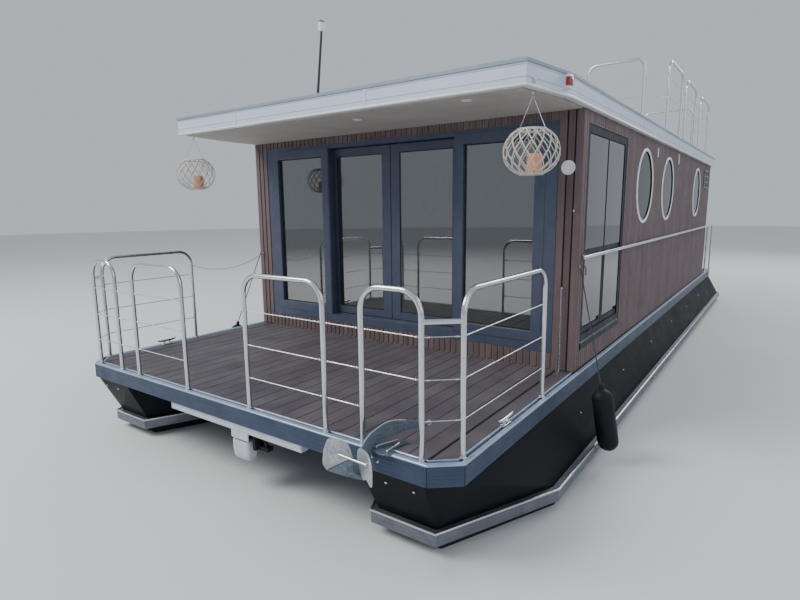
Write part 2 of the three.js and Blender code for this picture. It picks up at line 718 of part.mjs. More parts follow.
function shankSegment([x0, y0, low0, top0], [x1, y1, low1, top1]) {
  const length = Math.hypot(x1 - x0, y1 - y0);
  const nx = ((y1 - y0) / length) * SHANK_HALF_THICKNESS;
  const ny = ((x0 - x1) / length) * SHANK_HALF_THICKNESS;
  return hullOf([-1, 1].flatMap((way) => [
    [x0 + way * nx, y0 + way * ny, low0], [x0 + way * nx, y0 + way * ny, top0],
    [x1 + way * nx, y1 + way * ny, low1], [x1 + way * nx, y1 + way * ny, top1],
  ]));
}

// A palm is a thin body between its outline and the same outline set back.
const palm = (outline, [dx, dy, dz]) => hullOf(
  outline.flatMap(([x, y, z]) => [[x, y, z], [x + dx, y + dy, z + dz]]),
);

function addAnchor() {
  addPiece('anchor', join(
    SHANK_STATIONS.slice(1).map((station, i) => shankSegment(SHANK_STATIONS[i], station)),
    palm([
      [1431, -300, 48], [1440, -320, 0], [1452, -300, -44], [1485, -200, -135],
      [1552, -130, -110], [1545, -118, 10], [1470, -250, 151], [1440, -290, 110],
    ], [8, 10, 0]),
    palm([
      [1586, -120, 63], [1660, -190, 66], [1700, -250, 10], [1712, -262, -115],
      [1620, -160, -118], [1552, -112, -110], [1531, -100, -20],
    ], [-8, 8, 0]),
    rod([1470, -268, 46], [1690, -235, 30], 8),
  ), 'galvanised');
}

// Electric bow motor: a beam under the bow edge, and the drive that hangs from it

const BOW_MOTOR = {
  x0: -700, x1: 900, y0: 24, y1: 96, beamDepth: 70, podX0: 40, podX1: 300, podTop: -310,
  podBottom: -460, tiltX: 330, tiltEnd: 600,
};

function addBowMotor() {
  const m = BOW_MOTOR;
  const beamTop = -DECK.bandDepth - GAP;
  const beamBottom = beamTop - m.beamDepth;
  const podMiddle = (m.podX0 + m.podX1) / 2;
  addPiece('bow_motor', join(
    box(m.x0, m.x1, m.y0, m.y1, beamBottom, beamTop),
    hullOf([m.podX0, m.podX1].flatMap((x) => [
      [x, 60, m.podTop], [x, 190, m.podTop], [x, 40, m.podTop - 50], [x, 200, m.podTop - 50],
      [x, 60, m.podBottom], [x, 180, m.podBottom],
    ])),
    box(podMiddle - 60, podMiddle + 60, m.y0 + 20, m.y1, m.podTop - 10, beamBottom + 5),
    box(m.podX1 - 5, m.tiltEnd, 90, 150, m.podTop - 60, m.podTop - 20),
    box(m.tiltX, m.tiltX + 40, m.y0 + 20, 150, m.podTop - 60, beamBottom + 5),
    rod([m.tiltEnd - 30, 120, m.podTop - 60], [m.tiltEnd - 30, 60, beamBottom + 5], 14),
  ), 'white');
}

// Outboard motor on the stern: a bracket, the motor that steers in it, and its propeller

const MOTOR = {
  pivotY: 12480, barrel: 36, lug: 40, topLug: [-160, -120], bottomLug: [-390, -350],
  cowlFront: 12470, cowlBottom: -20, cowlDepth: 300, plateZ: -700, shaftZ: -920,
  propellerY: 12860, bossLength: 110, blade: 180,
};

function addOutboard() {
  const m = MOTOR;
  const transom = DECK.length + GAP;
  const lug = ([z0, z1]) => [
    box(-m.lug, m.lug, transom + 20, m.pivotY, z0, z1),
    rod([0, m.pivotY, z0], [0, m.pivotY, z1], m.lug, 12),
  ];
  addPiece('motor_bracket', join(
    box(-170, 170, transom, transom + 28, -420, -12), lug(m.topLug), lug(m.bottomLug),
    box(-14, 14, transom + 20, m.pivotY - 50, m.bottomLug[0], m.topLug[1]),
  ), 'motor');

  const cowlShape = new THREE.Shape([
    [-120, 0], [-165, 80], [-170, 340], [-120, 440], [120, 440], [170, 340], [165, 80], [120, 0],
  ].map(([x, y]) => new THREE.Vector2(x, y)));
  const cowl = new THREE.ExtrudeGeometry(cowlShape, {
    depth: m.cowlDepth, bevelEnabled: true, bevelThickness: 50, bevelSize: 40, bevelOffset: -40,
    bevelSegments: 2,
  });
  cowl.translate(0, m.cowlFront, m.cowlBottom);
  const legFront = m.pivotY + 52;
  const legBack = m.pivotY + 320;
  const leg = (half, front, back, z) => [
    [-half, front, z], [half, front, z], [-half, back, z], [half, back, z],
  ];
  const boss = m.propellerY - 12;
  addPiece('outboard', join(
    toSolid(cowl),
    rod([0, m.pivotY, m.bottomLug[1] + GAP], [0, m.pivotY, m.topLug[0] - GAP], m.barrel, 12),
    box(-22, 22, m.pivotY, legFront + 20, m.bottomLug[1] + 12, m.topLug[0] - 12),
    hullOf([...leg(64, legFront, legBack, -60), ...leg(46, legFront, legBack, -420)]),
    hullOf([
      ...leg(46, legFront, legBack, -410), ...leg(24, legFront + 60, legBack - 10, m.shaftZ + 30),
    ]),
    box(-110, 110, legFront + 20, legBack + 90, m.plateZ, m.plateZ + 9),
    rod([0, legFront, m.shaftZ], [0, boss, m.shaftZ], 58, 12),
    rod([0, boss - 5, m.shaftZ], [0, m.propellerY - 6 - GAP, m.shaftZ], 22, 12),
    hullOf([
      ...leg(8, legFront + 60, legBack + 10, m.shaftZ - 40),
      ...leg(5, legFront + 190, legBack, m.shaftZ - 210),
    ]),
  ), 'motor');

  const turns = [0, 1, 2].map((k) => (2 * Math.PI * k) / 3);
  // angle from the blade's own line, radius, distance along the shaft of the forward face
  const bladeEdge = [
    [-0.5, 42, 8], [0.5, 42, 86], [-0.28, 150, 22], [0.45, 150, 84], [0.08, m.blade, 52],
  ];
  const blade = (turn) => hullOf(bladeEdge.flatMap(([angle, radius, y]) => [y, y + 7].map((at) => [
    radius * Math.cos(turn + angle), at, radius * Math.sin(turn + angle),
  ])));
  addMesh('propeller', toGeometry(join(
    rod([0, -6, 0], [0, m.bossLength, 0], 46, 12), turns.map(blade),
  )), 'galvanised', [0, m.propellerY, m.shaftZ]);
}

// Fenders: one on each side, hung from the forward end of the handrail against the rub rail

const FENDER = { y: 2250, footZ: -590, lean: 0.26, length: 512, radius: 105, line: 5 };

function addFenders() {
  const { y, footZ, lean, length, radius } = FENDER;
  const railX = HULL.centreX + HULL.beltHalf;
  const footX = railX + (radius + GAP) / Math.cos(lean) + (HULL.railTop - footZ) * Math.tan(lean);
  const geometry = new THREE.LatheGeometry([
    [0, -40], [45, -36], [84, -8], [radius, 50], [radius, length - 50], [84, length + 8],
    [45, length + 36], [22, length + 44], [18, length + 84], [0, length + 84],
  ].map(([r, h]) => new THREE.Vector2(r, h)), 16);
  geometry.rotateX(Math.PI / 2);
  geometry.rotateY(-lean);
  geometry.translate(footX, y, footZ);
  const reach = length + 70;
  const eye = [footX - Math.sin(lean) * reach, y, footZ + Math.cos(lean) * reach];
  const r = SIDE_RAIL;
  const lineTop = [r.x + TUBE.radius + FENDER.line + GAP, r.front + 40, r.z];
  addPair('fender', join(toSolid(geometry), rod(eye, lineTop, FENDER.line, 6)), 'rubber');
}

// Woven lanterns that hang under the roof's front corners

const LANTERN = { radius: 230, height: 365, curve: 1.15, shell: 9, steps: 8, bottom: 1730 };

function addLanterns() {
  const { radius, height, curve, shell, steps, bottom } = LANTERN;
  const bulge = (reach, inset) => Array.from({ length: steps + 1 }, (_, k) => {
    const angle = curve * ((2 * k) / steps - 1);
    const rise = (Math.sin(angle) / Math.sin(curve)) * (height / 2 - inset);
    return [reach * Math.cos(angle) ** 0.7, height / 2 + rise];
  });
  const profile = [
    [0, 0], ...bulge(radius, 0), ...bulge(radius - shell, shell).reverse(), [0, shell],
  ];
  const mouth = radius * Math.cos(curve) ** 0.7 - shell / 2;
  const hook = CABIN.soffit - bottom - GAP;
  const unit = toGeometry(join(
    turned(profile, 0, 0, 0, 20),
    [-1, 1].map((side) => rod([side * mouth, 0, height - 8], [0, 0, hook - 14], 3.5, 6)),
    rod([0, 0, hook - 30], [0, 0, hook], 9),
    turned([[0, 0], [38, 0], [38, 130], [0, 130]], 0, 0, 4, 12),
  ));
  addMesh('lantern_port', unit, 'wicker', [1975, 1420, bottom]);
  addMesh('lantern_starboard', unit, 'wicker', [-1960, 1300, bottom], 0.6);
}

// Light mast on the roof

const MAST = { x: -330, y: 1600, headX: -240, headZ: 3190 };

function addMastLight() {
  const foot = ROOF.top + GAP;
  const m = MAST;
  addPiece('mast_light', join(
    box(m.x - 60, m.x + 60, m.y - 60, m.y + 60, foot, foot + 12),
    rod([m.x, m.y, foot + 8], [m.headX, m.y, m.headZ], 13, 10),
    turned([[0, 0], [24, 0], [32, 12], [32, 78], [22, 92], [0, 92]], m.headX, m.y, m.headZ - 10, 12),
  ), 'motor');
}

addHulls();
addDeck();
addWalls();
addRoof();
addFrontGlazing();
addSideWindows();
addPortholes();
addSternDoor();
addBowRails();
addSideRails();
addRoofRail();
addLadder();
addAnchor();
addBowMotor();
addOutboard();
addFenders();
addLanterns();
addMastLight();

export default group;
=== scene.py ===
"""A twin-pontoon houseboat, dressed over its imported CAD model.

Lengths are metres. Pieces are drawn in boat metres, as the CAD source draws them: X to port, Y aft
from the bow edge of the deck, Z up from the deck edge. SHIFT moves them into the CAD's own frame.
"""

import functools
import logging
import math
from dataclasses import dataclass
from enum import Enum
from typing import Any, Sequence

import bmesh
import bpy
import numpy as np
from mathutils import Matrix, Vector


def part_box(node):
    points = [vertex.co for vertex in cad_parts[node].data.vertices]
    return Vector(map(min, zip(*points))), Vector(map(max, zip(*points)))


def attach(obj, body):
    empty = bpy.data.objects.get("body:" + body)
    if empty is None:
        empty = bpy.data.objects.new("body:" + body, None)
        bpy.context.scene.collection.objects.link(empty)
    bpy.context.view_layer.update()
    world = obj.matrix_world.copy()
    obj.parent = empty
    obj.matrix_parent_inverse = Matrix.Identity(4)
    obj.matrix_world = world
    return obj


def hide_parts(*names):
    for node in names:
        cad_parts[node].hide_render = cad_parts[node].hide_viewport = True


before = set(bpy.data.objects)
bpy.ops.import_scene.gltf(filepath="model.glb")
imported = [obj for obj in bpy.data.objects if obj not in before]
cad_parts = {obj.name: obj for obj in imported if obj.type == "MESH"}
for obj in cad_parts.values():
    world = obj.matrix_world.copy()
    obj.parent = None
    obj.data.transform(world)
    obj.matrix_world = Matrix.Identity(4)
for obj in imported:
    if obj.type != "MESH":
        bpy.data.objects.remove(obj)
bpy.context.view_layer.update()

LOG = logging.getLogger("houseboat")
SHIFT = np.array([0.0, -6.325, 1.2])
ROOT = "boat"
SIDES = ("port", "starboard")

Rgb = tuple[float, float, float]
Point = tuple[float, float, float]


# Surfaces


@dataclass
class Shell:
    """Points in boat metres, blocks of faces between them, and one tone value for each point."""

    points: np.ndarray
    blocks: list[np.ndarray]
    tone: np.ndarray | None = None

    @classmethod
    def joined(cls, shells: Sequence["Shell"]) -> "Shell":
        """Puts several shells into one, in order, each with its own points.

        Args:
            shells: The shells.

        Returns:
            One shell with the points and blocks of all.
        """
        starts = np.cumsum([0] + [len(shell.points) for shell in shells[:-1]])
        return cls(
            np.concatenate([shell.points for shell in shells]),
            [block + start for shell, start in zip(shells, starts) for block in shell.blocks],
            np.concatenate([
                np.full(len(shell.points), 0.5) if shell.tone is None else shell.tone
                for shell in shells
            ]),
        )

    def mirrored(self) -> "Shell":
        """The same shell on the other side of the boat: X changes sign."""
        return Shell(self.points * (-1, 1, 1), [block[:, ::-1] for block in self.blocks], self.tone)

    def on(self, side: str) -> "Shell":
        """The shell as drawn for port, or its mirror image for starboard."""
        return self if side == "port" else self.mirrored()


def net(rows: int, cols: int, wrap: bool = False) -> np.ndarray:
    """Quads between neighbouring points (i, j), (i+1, j), (i+1, j+1), (i, j+1) of rings.

    Args:
        rows: Count of rings.
        cols: Count of points in a ring.
        wrap: Whether the last ring joins the first.

    Returns:
        Point numbers, four for each quad.
    """
    i, j = np.meshgrid(np.arange(rows if wrap else rows - 1), np.arange(cols), indexing="ij")
    k, m = (i + 1) % rows, (j + 1) % cols
    return np.stack([i * cols + j, k * cols + j, k * cols + m, i * cols + m], -1).reshape(-1, 4)


def caps(count: int, last: int) -> np.ndarray:
    """A row of rings' two end faces, the first turned over; last is the last ring's start."""
    first = np.arange(count)
    return np.stack([first[::-1], first + last])


def unit(vectors: np.ndarray) -> np.ndarray:
    """Vectors divided by their own length."""
    return vectors / np.linalg.norm(vectors, axis=-1, keepdims=True)


def bent(corners: Sequence[Point], radius: float, steps: int = 8) -> np.ndarray:
    """A path through corners with one arc at each inner corner.

    The arc's points are the turned sum of its start and end radii, weighted by the sines of the
    angle left and the angle done.

    Args:
        corners: The corner points.
        radius: The arcs' radius.
        steps: Steps in each arc.

    Returns:
        The path's points.
    """
    corner = np.asarray(corners, float)
    done = np.linspace(0, 1, steps + 1)[:, None]
    parts = [corner[:1]]
    for before, at, after in zip(corner[:-2], corner[1:-1], corner[2:]):
        back, on = unit(before - at), unit(after - at)
        half = math.acos(float(np.clip(back @ on, -1, 1))) / 2
        centre = at + unit(back + on) * radius / math.sin(half)
        start = at + back * radius / math.tan(half) - centre
        end = at + on * radius / math.tan(half) - centre
        sweep = math.pi - 2 * half
        turned = np.sin((1 - done) * sweep) * start + np.sin(done * sweep) * end
        parts.append(centre + turned / math.sin(sweep))
    return np.concatenate([*parts, corner[-1:]])


def smooth(points: Sequence[Sequence[float]], steps: int = 6, closed: bool = False) -> np.ndarray:
    """A Catmull-Rom curve: between two points, the cubic whose slopes follow their neighbours.

    Args:
        points: The points that it passes through, of any width.
        steps: Steps between two points.
        closed: Whether it returns to its first point.

    Returns:
        The curve's points.
    """
    p = np.asarray(points, float)
    ring = np.concatenate([p[-1:], p, p[:2]]) if closed else np.concatenate([
        2 * p[:1] - p[1:2], p, 2 * p[-1:] - p[-2:-1],
    ])
    a, b, c, d = ring[:-3, None], ring[1:-2, None], ring[2:-1, None], ring[3:, None]
    t = np.linspace(0, 1, steps, endpoint=False)[None, :, None]
    curve = 0.5 * (
        2 * b + (c - a) * t + (2 * a - 5 * b + 4 * c - d) * t**2
        + (3 * b - a - 3 * c + d) * t**3
    )
    flat = curve.reshape(-1, p.shape[1])
    return flat if closed else np.concatenate([flat, p[-1:]])


def carried(path: np.ndarray, section: np.ndarray, closed: bool = False,
            upright: Point | None = None) -> Shell:
    """A section carried along a path: point = path + section x * side + section y * up.

    Args:
        path: The path's points.
        section: A closed outline for all points, or one outline for each.
        closed: Whether the path returns to its start.
        upright: The direction that stays up, or None for the one that the path never takes.

    Returns:
        A closed tube, capped unless its path is closed.
    """
    path = np.asarray(path, float)
    run = unit(np.roll(path, -1, 0) - np.roll(path, 1, 0) if closed else np.gradient(path, axis=0))
    reference = np.linalg.svd(run)[2][-1] if upright is None else np.asarray(upright, float)
    side = unit(np.cross(run, reference))
    up = np.cross(side, run)
    section = np.broadcast_to(section, (len(path), *np.shape(section)[-2:]))
    points = (
        path[:, None] + section[..., :1] * side[:, None] + section[..., 1:] * up[:, None]
    ).reshape(-1, 3)
    count = section.shape[1]
    blocks = [net(len(path), count, closed)]
    if not closed:
        blocks.append(caps(count, (len(path) - 1) * count))
    return Shell(points, blocks)


def circle(sides: int) -> np.ndarray:
    """A unit circle's points, the first half a step past its X axis."""
    angle = 2 * np.pi * (np.arange(sides) + 0.5) / sides
    return np.stack([np.cos(angle), np.sin(angle)], -1)


def oval(centre: Point, u: Point, v: Point, steps: int) -> np.ndarray:
    """A closed oval: point = centre + cos a * u + sin a * v."""
    angle = np.linspace(0, 2 * np.pi, steps, endpoint=False)[:, None]
    return np.asarray(centre, float) + np.cos(angle) * u + np.sin(angle) * v


def tube(path: Sequence[Point], radius: float | Sequence[float], sides: int = 14,
         closed: bool = False) -> Shell:
    """A circle carried along a path, with one radius or one for each point."""
    reach = np.broadcast_to(np.asarray(radius, float), (len(path),))
    return carried(np.asarray(path, float), circle(sides)[None] * reach[:, None, None], closed)


def lathe(profile: Sequence[tuple[float, float]], centre: Point, axis: Point = (0, 0, 1),
          segments: int = 32, ring: bool = False) -> Shell:
    """A turned body: point = centre + radius * (cos a * u + sin a * v) + height * axis.

    Args:
        profile: Radius and height, in order; a radius of 0 makes a pole.
        centre: Where the axis starts.
        axis: Its direction.
        segments: Steps round it.
        ring: Whether the profile is a closed loop, as round a ring.

    Returns:
        The turned shell.
    """
    along = unit(np.asarray(axis, float))
    u = unit(np.cross(along, (0.0, 1.0, 0.0) if abs(along[1]) < 0.9 else (1.0, 0.0, 0.0)))
    v = np.cross(along, u)
    spoke = oval((0, 0, 0), u, v, segments)
    shape = np.asarray(profile, float)
    points = shape[:, 0, None, None] * spoke + shape[:, 1, None, None] * along
    return Shell(
        (points + np.asarray(centre, float)).reshape(-1, 3), [net(len(shape), segments, ring)]
    )


def block(x: tuple[float, float], y: tuple[float, float], z: tuple[float, float]) -> Shell:
    """A cuboid between its limits along X, Y and Z."""
    plan = [(x[0], y[0]), (x[1], y[0]), (x[1], y[1]), (x[0], y[1])]
    return prism(np.array(plan), z)


def prism(outline: np.ndarray, z: tuple[float, float]) -> Shell:
    """An upright body over a plan outline, with a flat cap at each end.

    Args:
        outline: Plan points, anticlockwise seen from above.
        z: Its foot and its top.

    Returns:
        The closed shell.
    """
    outline = np.asarray(outline, float)
    count = len(outline)
    points = np.concatenate([np.column_stack([outline, np.full(count, level)]) for level in z])
    return Shell(points, [net(2, count), caps(count, count)])


def mitred(outline: np.ndarray, profile: Sequence[tuple[float, float]]) -> Shell:
    """A closed profile carried round a closed plan outline, with mitred corners.

    At each corner the inward step is the sum of the two inward edge normals over one plus their
    dot product, so that every edge keeps its distance.

    Args:
        outline: Plan points, anticlockwise seen from above.
        profile: Inset from the outline and height, in order.

    Returns:
        The frame-shaped shell.
    """
    outline = np.asarray(outline, float)
    edge = unit(np.roll(outline, -1, 0) - outline)
    inward = np.stack([-edge[:, 1], edge[:, 0]], -1)
    before = np.roll(inward, 1, 0)
    step = (inward + before) / (1 + np.sum(inward * before, -1, keepdims=True))
    shape = np.asarray(profile, float)
    plan = outline[:, None] + shape[None, :, :1] * step[:, None]
    level = np.broadcast_to(shape[None, :, 1:], (*plan.shape[:2], 1))
    points = np.concatenate([plan, level], -1).reshape(-1, 3)
    return Shell(points, [net(len(outline), len(shape), True)])


def inset(outline: np.ndarray, by: float) -> np.ndarray:
    """A plan outline set back by one distance, with mitred corners."""
    return mitred(outline, [(by, 0.0)]).points[:, :2]


def strips(across: np.ndarray, low: np.ndarray, high: np.ndarray, back: float, front: float,
           chamfer: float, axes: str, seed: int = 1) -> Shell:
    """Bars side by side, with two chamfered front edges and ends that may slant.

    An end's place at a point of the section is its value at the left edge plus the share of the
    width that is passed, times the change to the right edge.

    Args:
        across: Left and right edge of each bar.
        low: Near end at its left and right edge.
        high: Far end at its left and right edge.
        back: Depth of the back face.
        front: Depth of the front face.
        chamfer: Size of the chamfer.
        axes: Which of x, y, z is across, along and out, in that order.
        seed: Seed for the bars' tones.

    Returns:
        All the bars in one shell, with one tone for each bar.
    """
    across, low, high = (np.asarray(a, float) for a in (across, low, high))
    left, right = across[:, :1], across[:, 1:]
    width = np.concatenate([left, left, left + chamfer, right - chamfer, right, right], 1)
    share = (width - left) / (right - left)
    set_back = front - math.copysign(chamfer, front - back)
    depth = np.array([back, set_back, front, front, set_back, back])
    count = len(across)
    points = np.empty((count, 2, 6, 3))
    order = ["xyz".index(letter) for letter in axes]
    points[..., order[0]] = width[:, None]
    points[:, 0, :, order[1]] = low[:, :1] + share * (low[:, 1:] - low[:, :1])
    points[:, 1, :, order[1]] = high[:, :1] + share * (high[:, 1:] - high[:, :1])
    points[..., order[2]] = depth
    start = 12 * np.arange(count)[:, None, None]
    tones = np.random.default_rng(seed).random(count)
    return Shell(points.reshape(-1, 3), [
        (net(2, 6)[None] + start).reshape(-1, 4), (caps(6, 6)[None] + start).reshape(-1, 6),
    ], np.repeat(tones, 12))


def loft(stations: Sequence[Sequence[float]], steps: int = 5, sides: int = 36) -> Shell:
    """A body of rounded-box sections stacked upwards and smoothed between stations.

    A section's point is middle + half size * sign of the cosine or sine * its size to the power
    of two over the section's squareness.

    Args:
        stations: Height, middle x, half x, middle y, half y and squareness of each section.
        steps: Steps between two stations.
        sides: Points round a section.

    Returns:
        A closed shell.
    """
    rows = smooth(stations, steps)
    angle = 2 * np.pi * np.arange(sides) / sides
    power = 2 / rows[:, 5:6]
    cos, sin = np.cos(angle)[None], np.sin(angle)[None]
    x = rows[:, 1:2] + rows[:, 2:3] * np.sign(cos) * np.abs(cos) ** power
    y = rows[:, 3:4] + rows[:, 4:5] * np.sign(sin) * np.abs(sin) ** power
    points = np.stack([x, y, np.broadcast_to(rows[:, :1], x.shape)], -1).reshape(-1, 3)
    return Shell(points, [net(len(rows), sides), caps(sides, (len(rows) - 1) * sides)])


def curved_plate(rim: np.ndarray, thickness: float, dish: float) -> Shell:
    """A dished plate inside a closed outline.

    A point at share s from the middle to the rim is middle + s * (rim - middle), raised along
    the plate's normal by dish * (1 - s squared), once for each face.

    Args:
        rim: The outline's points, nearly in one plane.
        thickness: The plate's thickness.
        dish: How far its middle stands out.

    Returns:
        A closed shell.
    """
    middle = rim.mean(0)
    normal = np.linalg.svd(rim - middle)[2][-1]
    share = np.linspace(0, 1, 7)[:, None, None]
    face = middle + share * (rim - middle) + dish * (1 - share**2) * normal
    edge = np.array([0, 0.3, 0.7, 1])[:, None, None]
    swell = 1 + 0.012 * np.sin(np.pi * edge)
    side = middle + swell * (rim - middle) - edge * thickness * normal
    points = np.concatenate([face, side[1:-1], (face - thickness * normal)[::-1]])
    return Shell(points.reshape(-1, 3), [net(len(points), len(rim))])


def chain(path: np.ndarray) -> Shell:
    """Links along a path, each turned a quarter from the last.

    A link's centre line is a long loop: x = length * cos a, y = width * sin a, carried into the
    path's own directions.

    Args:
        path: Points of the chain's line.

    Returns:
        All links in one shell.
    """
    pitch, wire = 0.02, 0.0019
    path = np.asarray(path, float)
    steps = np.linalg.norm(np.diff(path, axis=0), axis=1)
    along = np.concatenate([[0], np.cumsum(steps)])
    places = np.arange(pitch / 2, along[-1], pitch)
    centre = np.stack([np.interp(places, along, path[:, i]) for i in range(3)], -1)
    run = unit(np.gradient(centre, axis=0))
    reference = np.array([0.31, 0.95, 0.05]) if abs(run[0, 1]) < 0.8 else np.array([1.0, 0.1, 0])
    side = unit(np.cross(run, reference))
    up = np.cross(side, run)
    odd = (np.arange(len(centre)) % 2)[:, None]
    side, up = np.where(odd, up, side), np.where(odd, -side, up)
    loop = oval((0, 0, 0), (0.62 * pitch, 0, 0), (0, 0.3 * pitch, 0), 10)
    link = tube(loop, wire, 5, closed=True)
    shape = link.points[None]
    points = (
        centre[:, None] + shape[..., :1] * run[:, None] + shape[..., 1:2] * side[:, None]
        + shape[..., 2:] * up[:, None]
    )
    start = len(link.points) * np.arange(len(centre))[:, None, None]
    return Shell(points.reshape(-1, 3), [(link.blocks[0][None] + start).reshape(-1, 4)])


def sagging(start: Point, end: Point, sag: float, steps: int = 24) -> np.ndarray:
    """A hanging line: the straight line less sag * 4 * t * (1 - t).

    Args:
        start: Its first end.
        end: Its other end.
        sag: How far its middle hangs below the straight line.
        steps: Count of steps.

    Returns:
        The line's points.
    """
    t = np.linspace(0, 1, steps + 1)[:, None]
    line = (1 - t) * np.asarray(start, float) + t * np.asarray(end, float)
    return line - np.array([0, 0, 1]) * sag * 4 * t * (1 - t)


# Finishes


class Graph:
    """Short calls that add nodes to a tree and link them."""

    def __init__(self, tree: bpy.types.NodeTree) -> None:
        """Keeps the tree that nodes are added to."""
        self.tree = tree

    def node(self, kind: str, values: dict[Any, Any] | None = None, **settings: Any) -> Any:
        """Adds a node.

        Args:
            kind: Blender's name for the node.
            values: Input name or number, and its value or the socket linked to it.
            settings: Properties of the node.

        Returns:
            The node.
        """
        made = self.tree.nodes.new(kind)
        for name, value in settings.items():
            setattr(made, name, value)
        for name, value in (values or {}).items():
            if isinstance(value, bpy.types.NodeSocket):
                self.tree.links.new(value, made.inputs[name])
            else:
                made.inputs[name].default_value = value
        return made

    def math(self, operation: str, a: Any, b: Any = 0.0, clamp: bool = False) -> Any:
        """A Math node's output."""
        made = self.node("ShaderNodeMath", {0: a, 1: b}, operation=operation, use_clamp=clamp)
        return made.outputs[0]

    def mix(self, share: Any, a: Any, b: Any) -> Any:
        """A colour between a and b; plain colours may have three numbers."""
        a, b = ((*c, 1.0) if isinstance(c, tuple) else c for c in (a, b))
        return self.node("ShaderNodeMix", {0: share, 6: a, 7: b}, data_type="RGBA").outputs[2]

    def ranged(self, value: Any, low: Any, high: Any, to_low: float = 0.0,
               to_high: float = 1.0) -> Any:
        """A value mapped from one range to another and held inside it.

        Args:
            value: The value.
            low: Where its own range starts.
            high: Where its own range ends.
            to_low: Where the new range starts.
            to_high: Where the new range ends.

        Returns:
            The socket of the mapped value.
        """
        return self.node("ShaderNodeMapRange", {
            "Value": value, "From Min": low, "From Max": high, "To Min": to_low,
            "To Max": to_high,
        }).outputs[0]

    def blend(self, a: Any, b: Any, share: float) -> Any:
        """The value a * (1 - share) + b * share."""
        return self.math("ADD", self.math("MULTIPLY", a, 1 - share),
                         self.math("MULTIPLY", b, share))

    def part(self, vector: Any, axis: str) -> Any:
        """One of a vector's three numbers."""
        return self.node("ShaderNodeSeparateXYZ", {0: vector}).outputs[axis]

    def across(self, operation: str, a: Any, b: Any) -> Any:
        """A Vector Math node."""
        return self.node("ShaderNodeVectorMath", {0: a, 1: b}, operation=operation)

    def noise(self, place: Any, scale: Any, detail: float, rough: float = 0.5) -> Any:
        """A noise texture's value."""
        values = {"Vector": place, "Scale": scale, "Detail": detail, "Roughness": rough}
        return self.node("ShaderNodeTexNoise", values).outputs["Fac"]

    def place(self) -> Any:
        """The Object coordinate socket."""
        return self.node("ShaderNodeTexCoord").outputs["Object"]

    def effect(self, effect: "Effect", **values: Any) -> Any:
        """Adds a shared effect.

        Args:
            effect: Which effect.
            values: Its inputs, by their names in small letters.

        Returns:
            The socket of its mask.
        """
        made = self.node("ShaderNodeGroup", node_tree=effect_group(effect))
        for name, value in values.items():
            made.inputs[name.title()].default_value = value
        return made.outputs["Mask"]


class Effect(Enum):
    """Shared surface effects, with the inputs that each takes."""

    MOTTLE = (("Scale", 6.0),)
    GRAIN = (("Stretch", (1.0, 1.0, 1.0)),)
    GROOVES = (("Axis", (1.0, 0.0, 0.0)), ("Pitch", 0.0125), ("Width", 0.3))
    GRIME = (("Level", 0.5), ("Reach", 0.1))
    SPANGLE = (("Scale", 60.0),)
    DUST = (("Scale", 3.0),)


@functools.cache
def effect_group(effect: Effect) -> bpy.types.NodeTree:
    """The node group of one effect, built once.

    MOTTLE is soft cloud noise, GRAIN is noise on stretched coordinates, GROOVES is a saw of
    thin lines across an axis, GRIME fades upwards from a level, SPANGLE is one value for each
    crystal cell, and DUST is cloud noise on faces that look up.

    Args:
        effect: Which effect.

    Returns:
        A group whose output is Mask, from 0 to 1.
    """
    tree = bpy.data.node_groups.new(f"surface_{effect.name.lower()}", "ShaderNodeTree")
    for name, value in effect.value:
        kind = "NodeSocketVector" if isinstance(value, tuple) else "NodeSocketFloat"
        socket = tree.interface.new_socket(name=name, in_out="INPUT", socket_type=kind)
        socket.default_value = value
    tree.interface.new_socket(name="Mask", in_out="OUTPUT", socket_type="NodeSocketFloat")
    graph = Graph(tree)
    given = graph.node("NodeGroupInput").outputs
    place = graph.place()
    if effect is Effect.MOTTLE:
        mask = graph.ranged(graph.noise(place, given["Scale"], 6.0, 0.62), 0.3, 0.7)
    elif effect is Effect.GRAIN:
        stretched = graph.across("MULTIPLY", place, given["Stretch"]).outputs[0]
        mask = graph.ranged(graph.noise(stretched, 1.0, 4.0, 0.7), 0.32, 0.68)
    elif effect is Effect.GROOVES:
        along = graph.across("DOT_PRODUCT", place, given["Axis"]).outputs["Value"]
        step = graph.math("FRACT", graph.math("DIVIDE", along, given["Pitch"]))
        distance = graph.math("ABSOLUTE", graph.math("SUBTRACT", step, 0.5))
        mask = graph.ranged(distance, 0.0, given["Width"], 1.0, 0.0)
    elif effect is Effect.GRIME:
        above = graph.math("SUBTRACT", graph.part(place, "Z"), given["Level"])
        cloud = graph.math("SUBTRACT", graph.noise(place, 7.0, 8.0, 0.7), 0.5)
        ragged = graph.math("ADD", graph.math("DIVIDE", above, given["Reach"]), cloud)
        mask = graph.ranged(ragged, 0.0, 1.0, 1.0, 0.0)
    elif effect is Effect.SPANGLE:
        cells = graph.node("ShaderNodeTexVoronoi", {"Vector": place, "Scale": given["Scale"]})
        mask = graph.part(cells.outputs["Color"], "X")
    else:
        normal = graph.node("ShaderNodeTexCoord").outputs["Normal"]
        upward = graph.ranged(graph.part(normal, "Z"), 0.5, 0.95)
        cloud = graph.ranged(graph.noise(place, given["Scale"], 8.0), 0.4, 0.75)
        mask = graph.math("MULTIPLY", upward, cloud)
    graph.node("NodeGroupOutput", {"Mask": mask})
    return tree


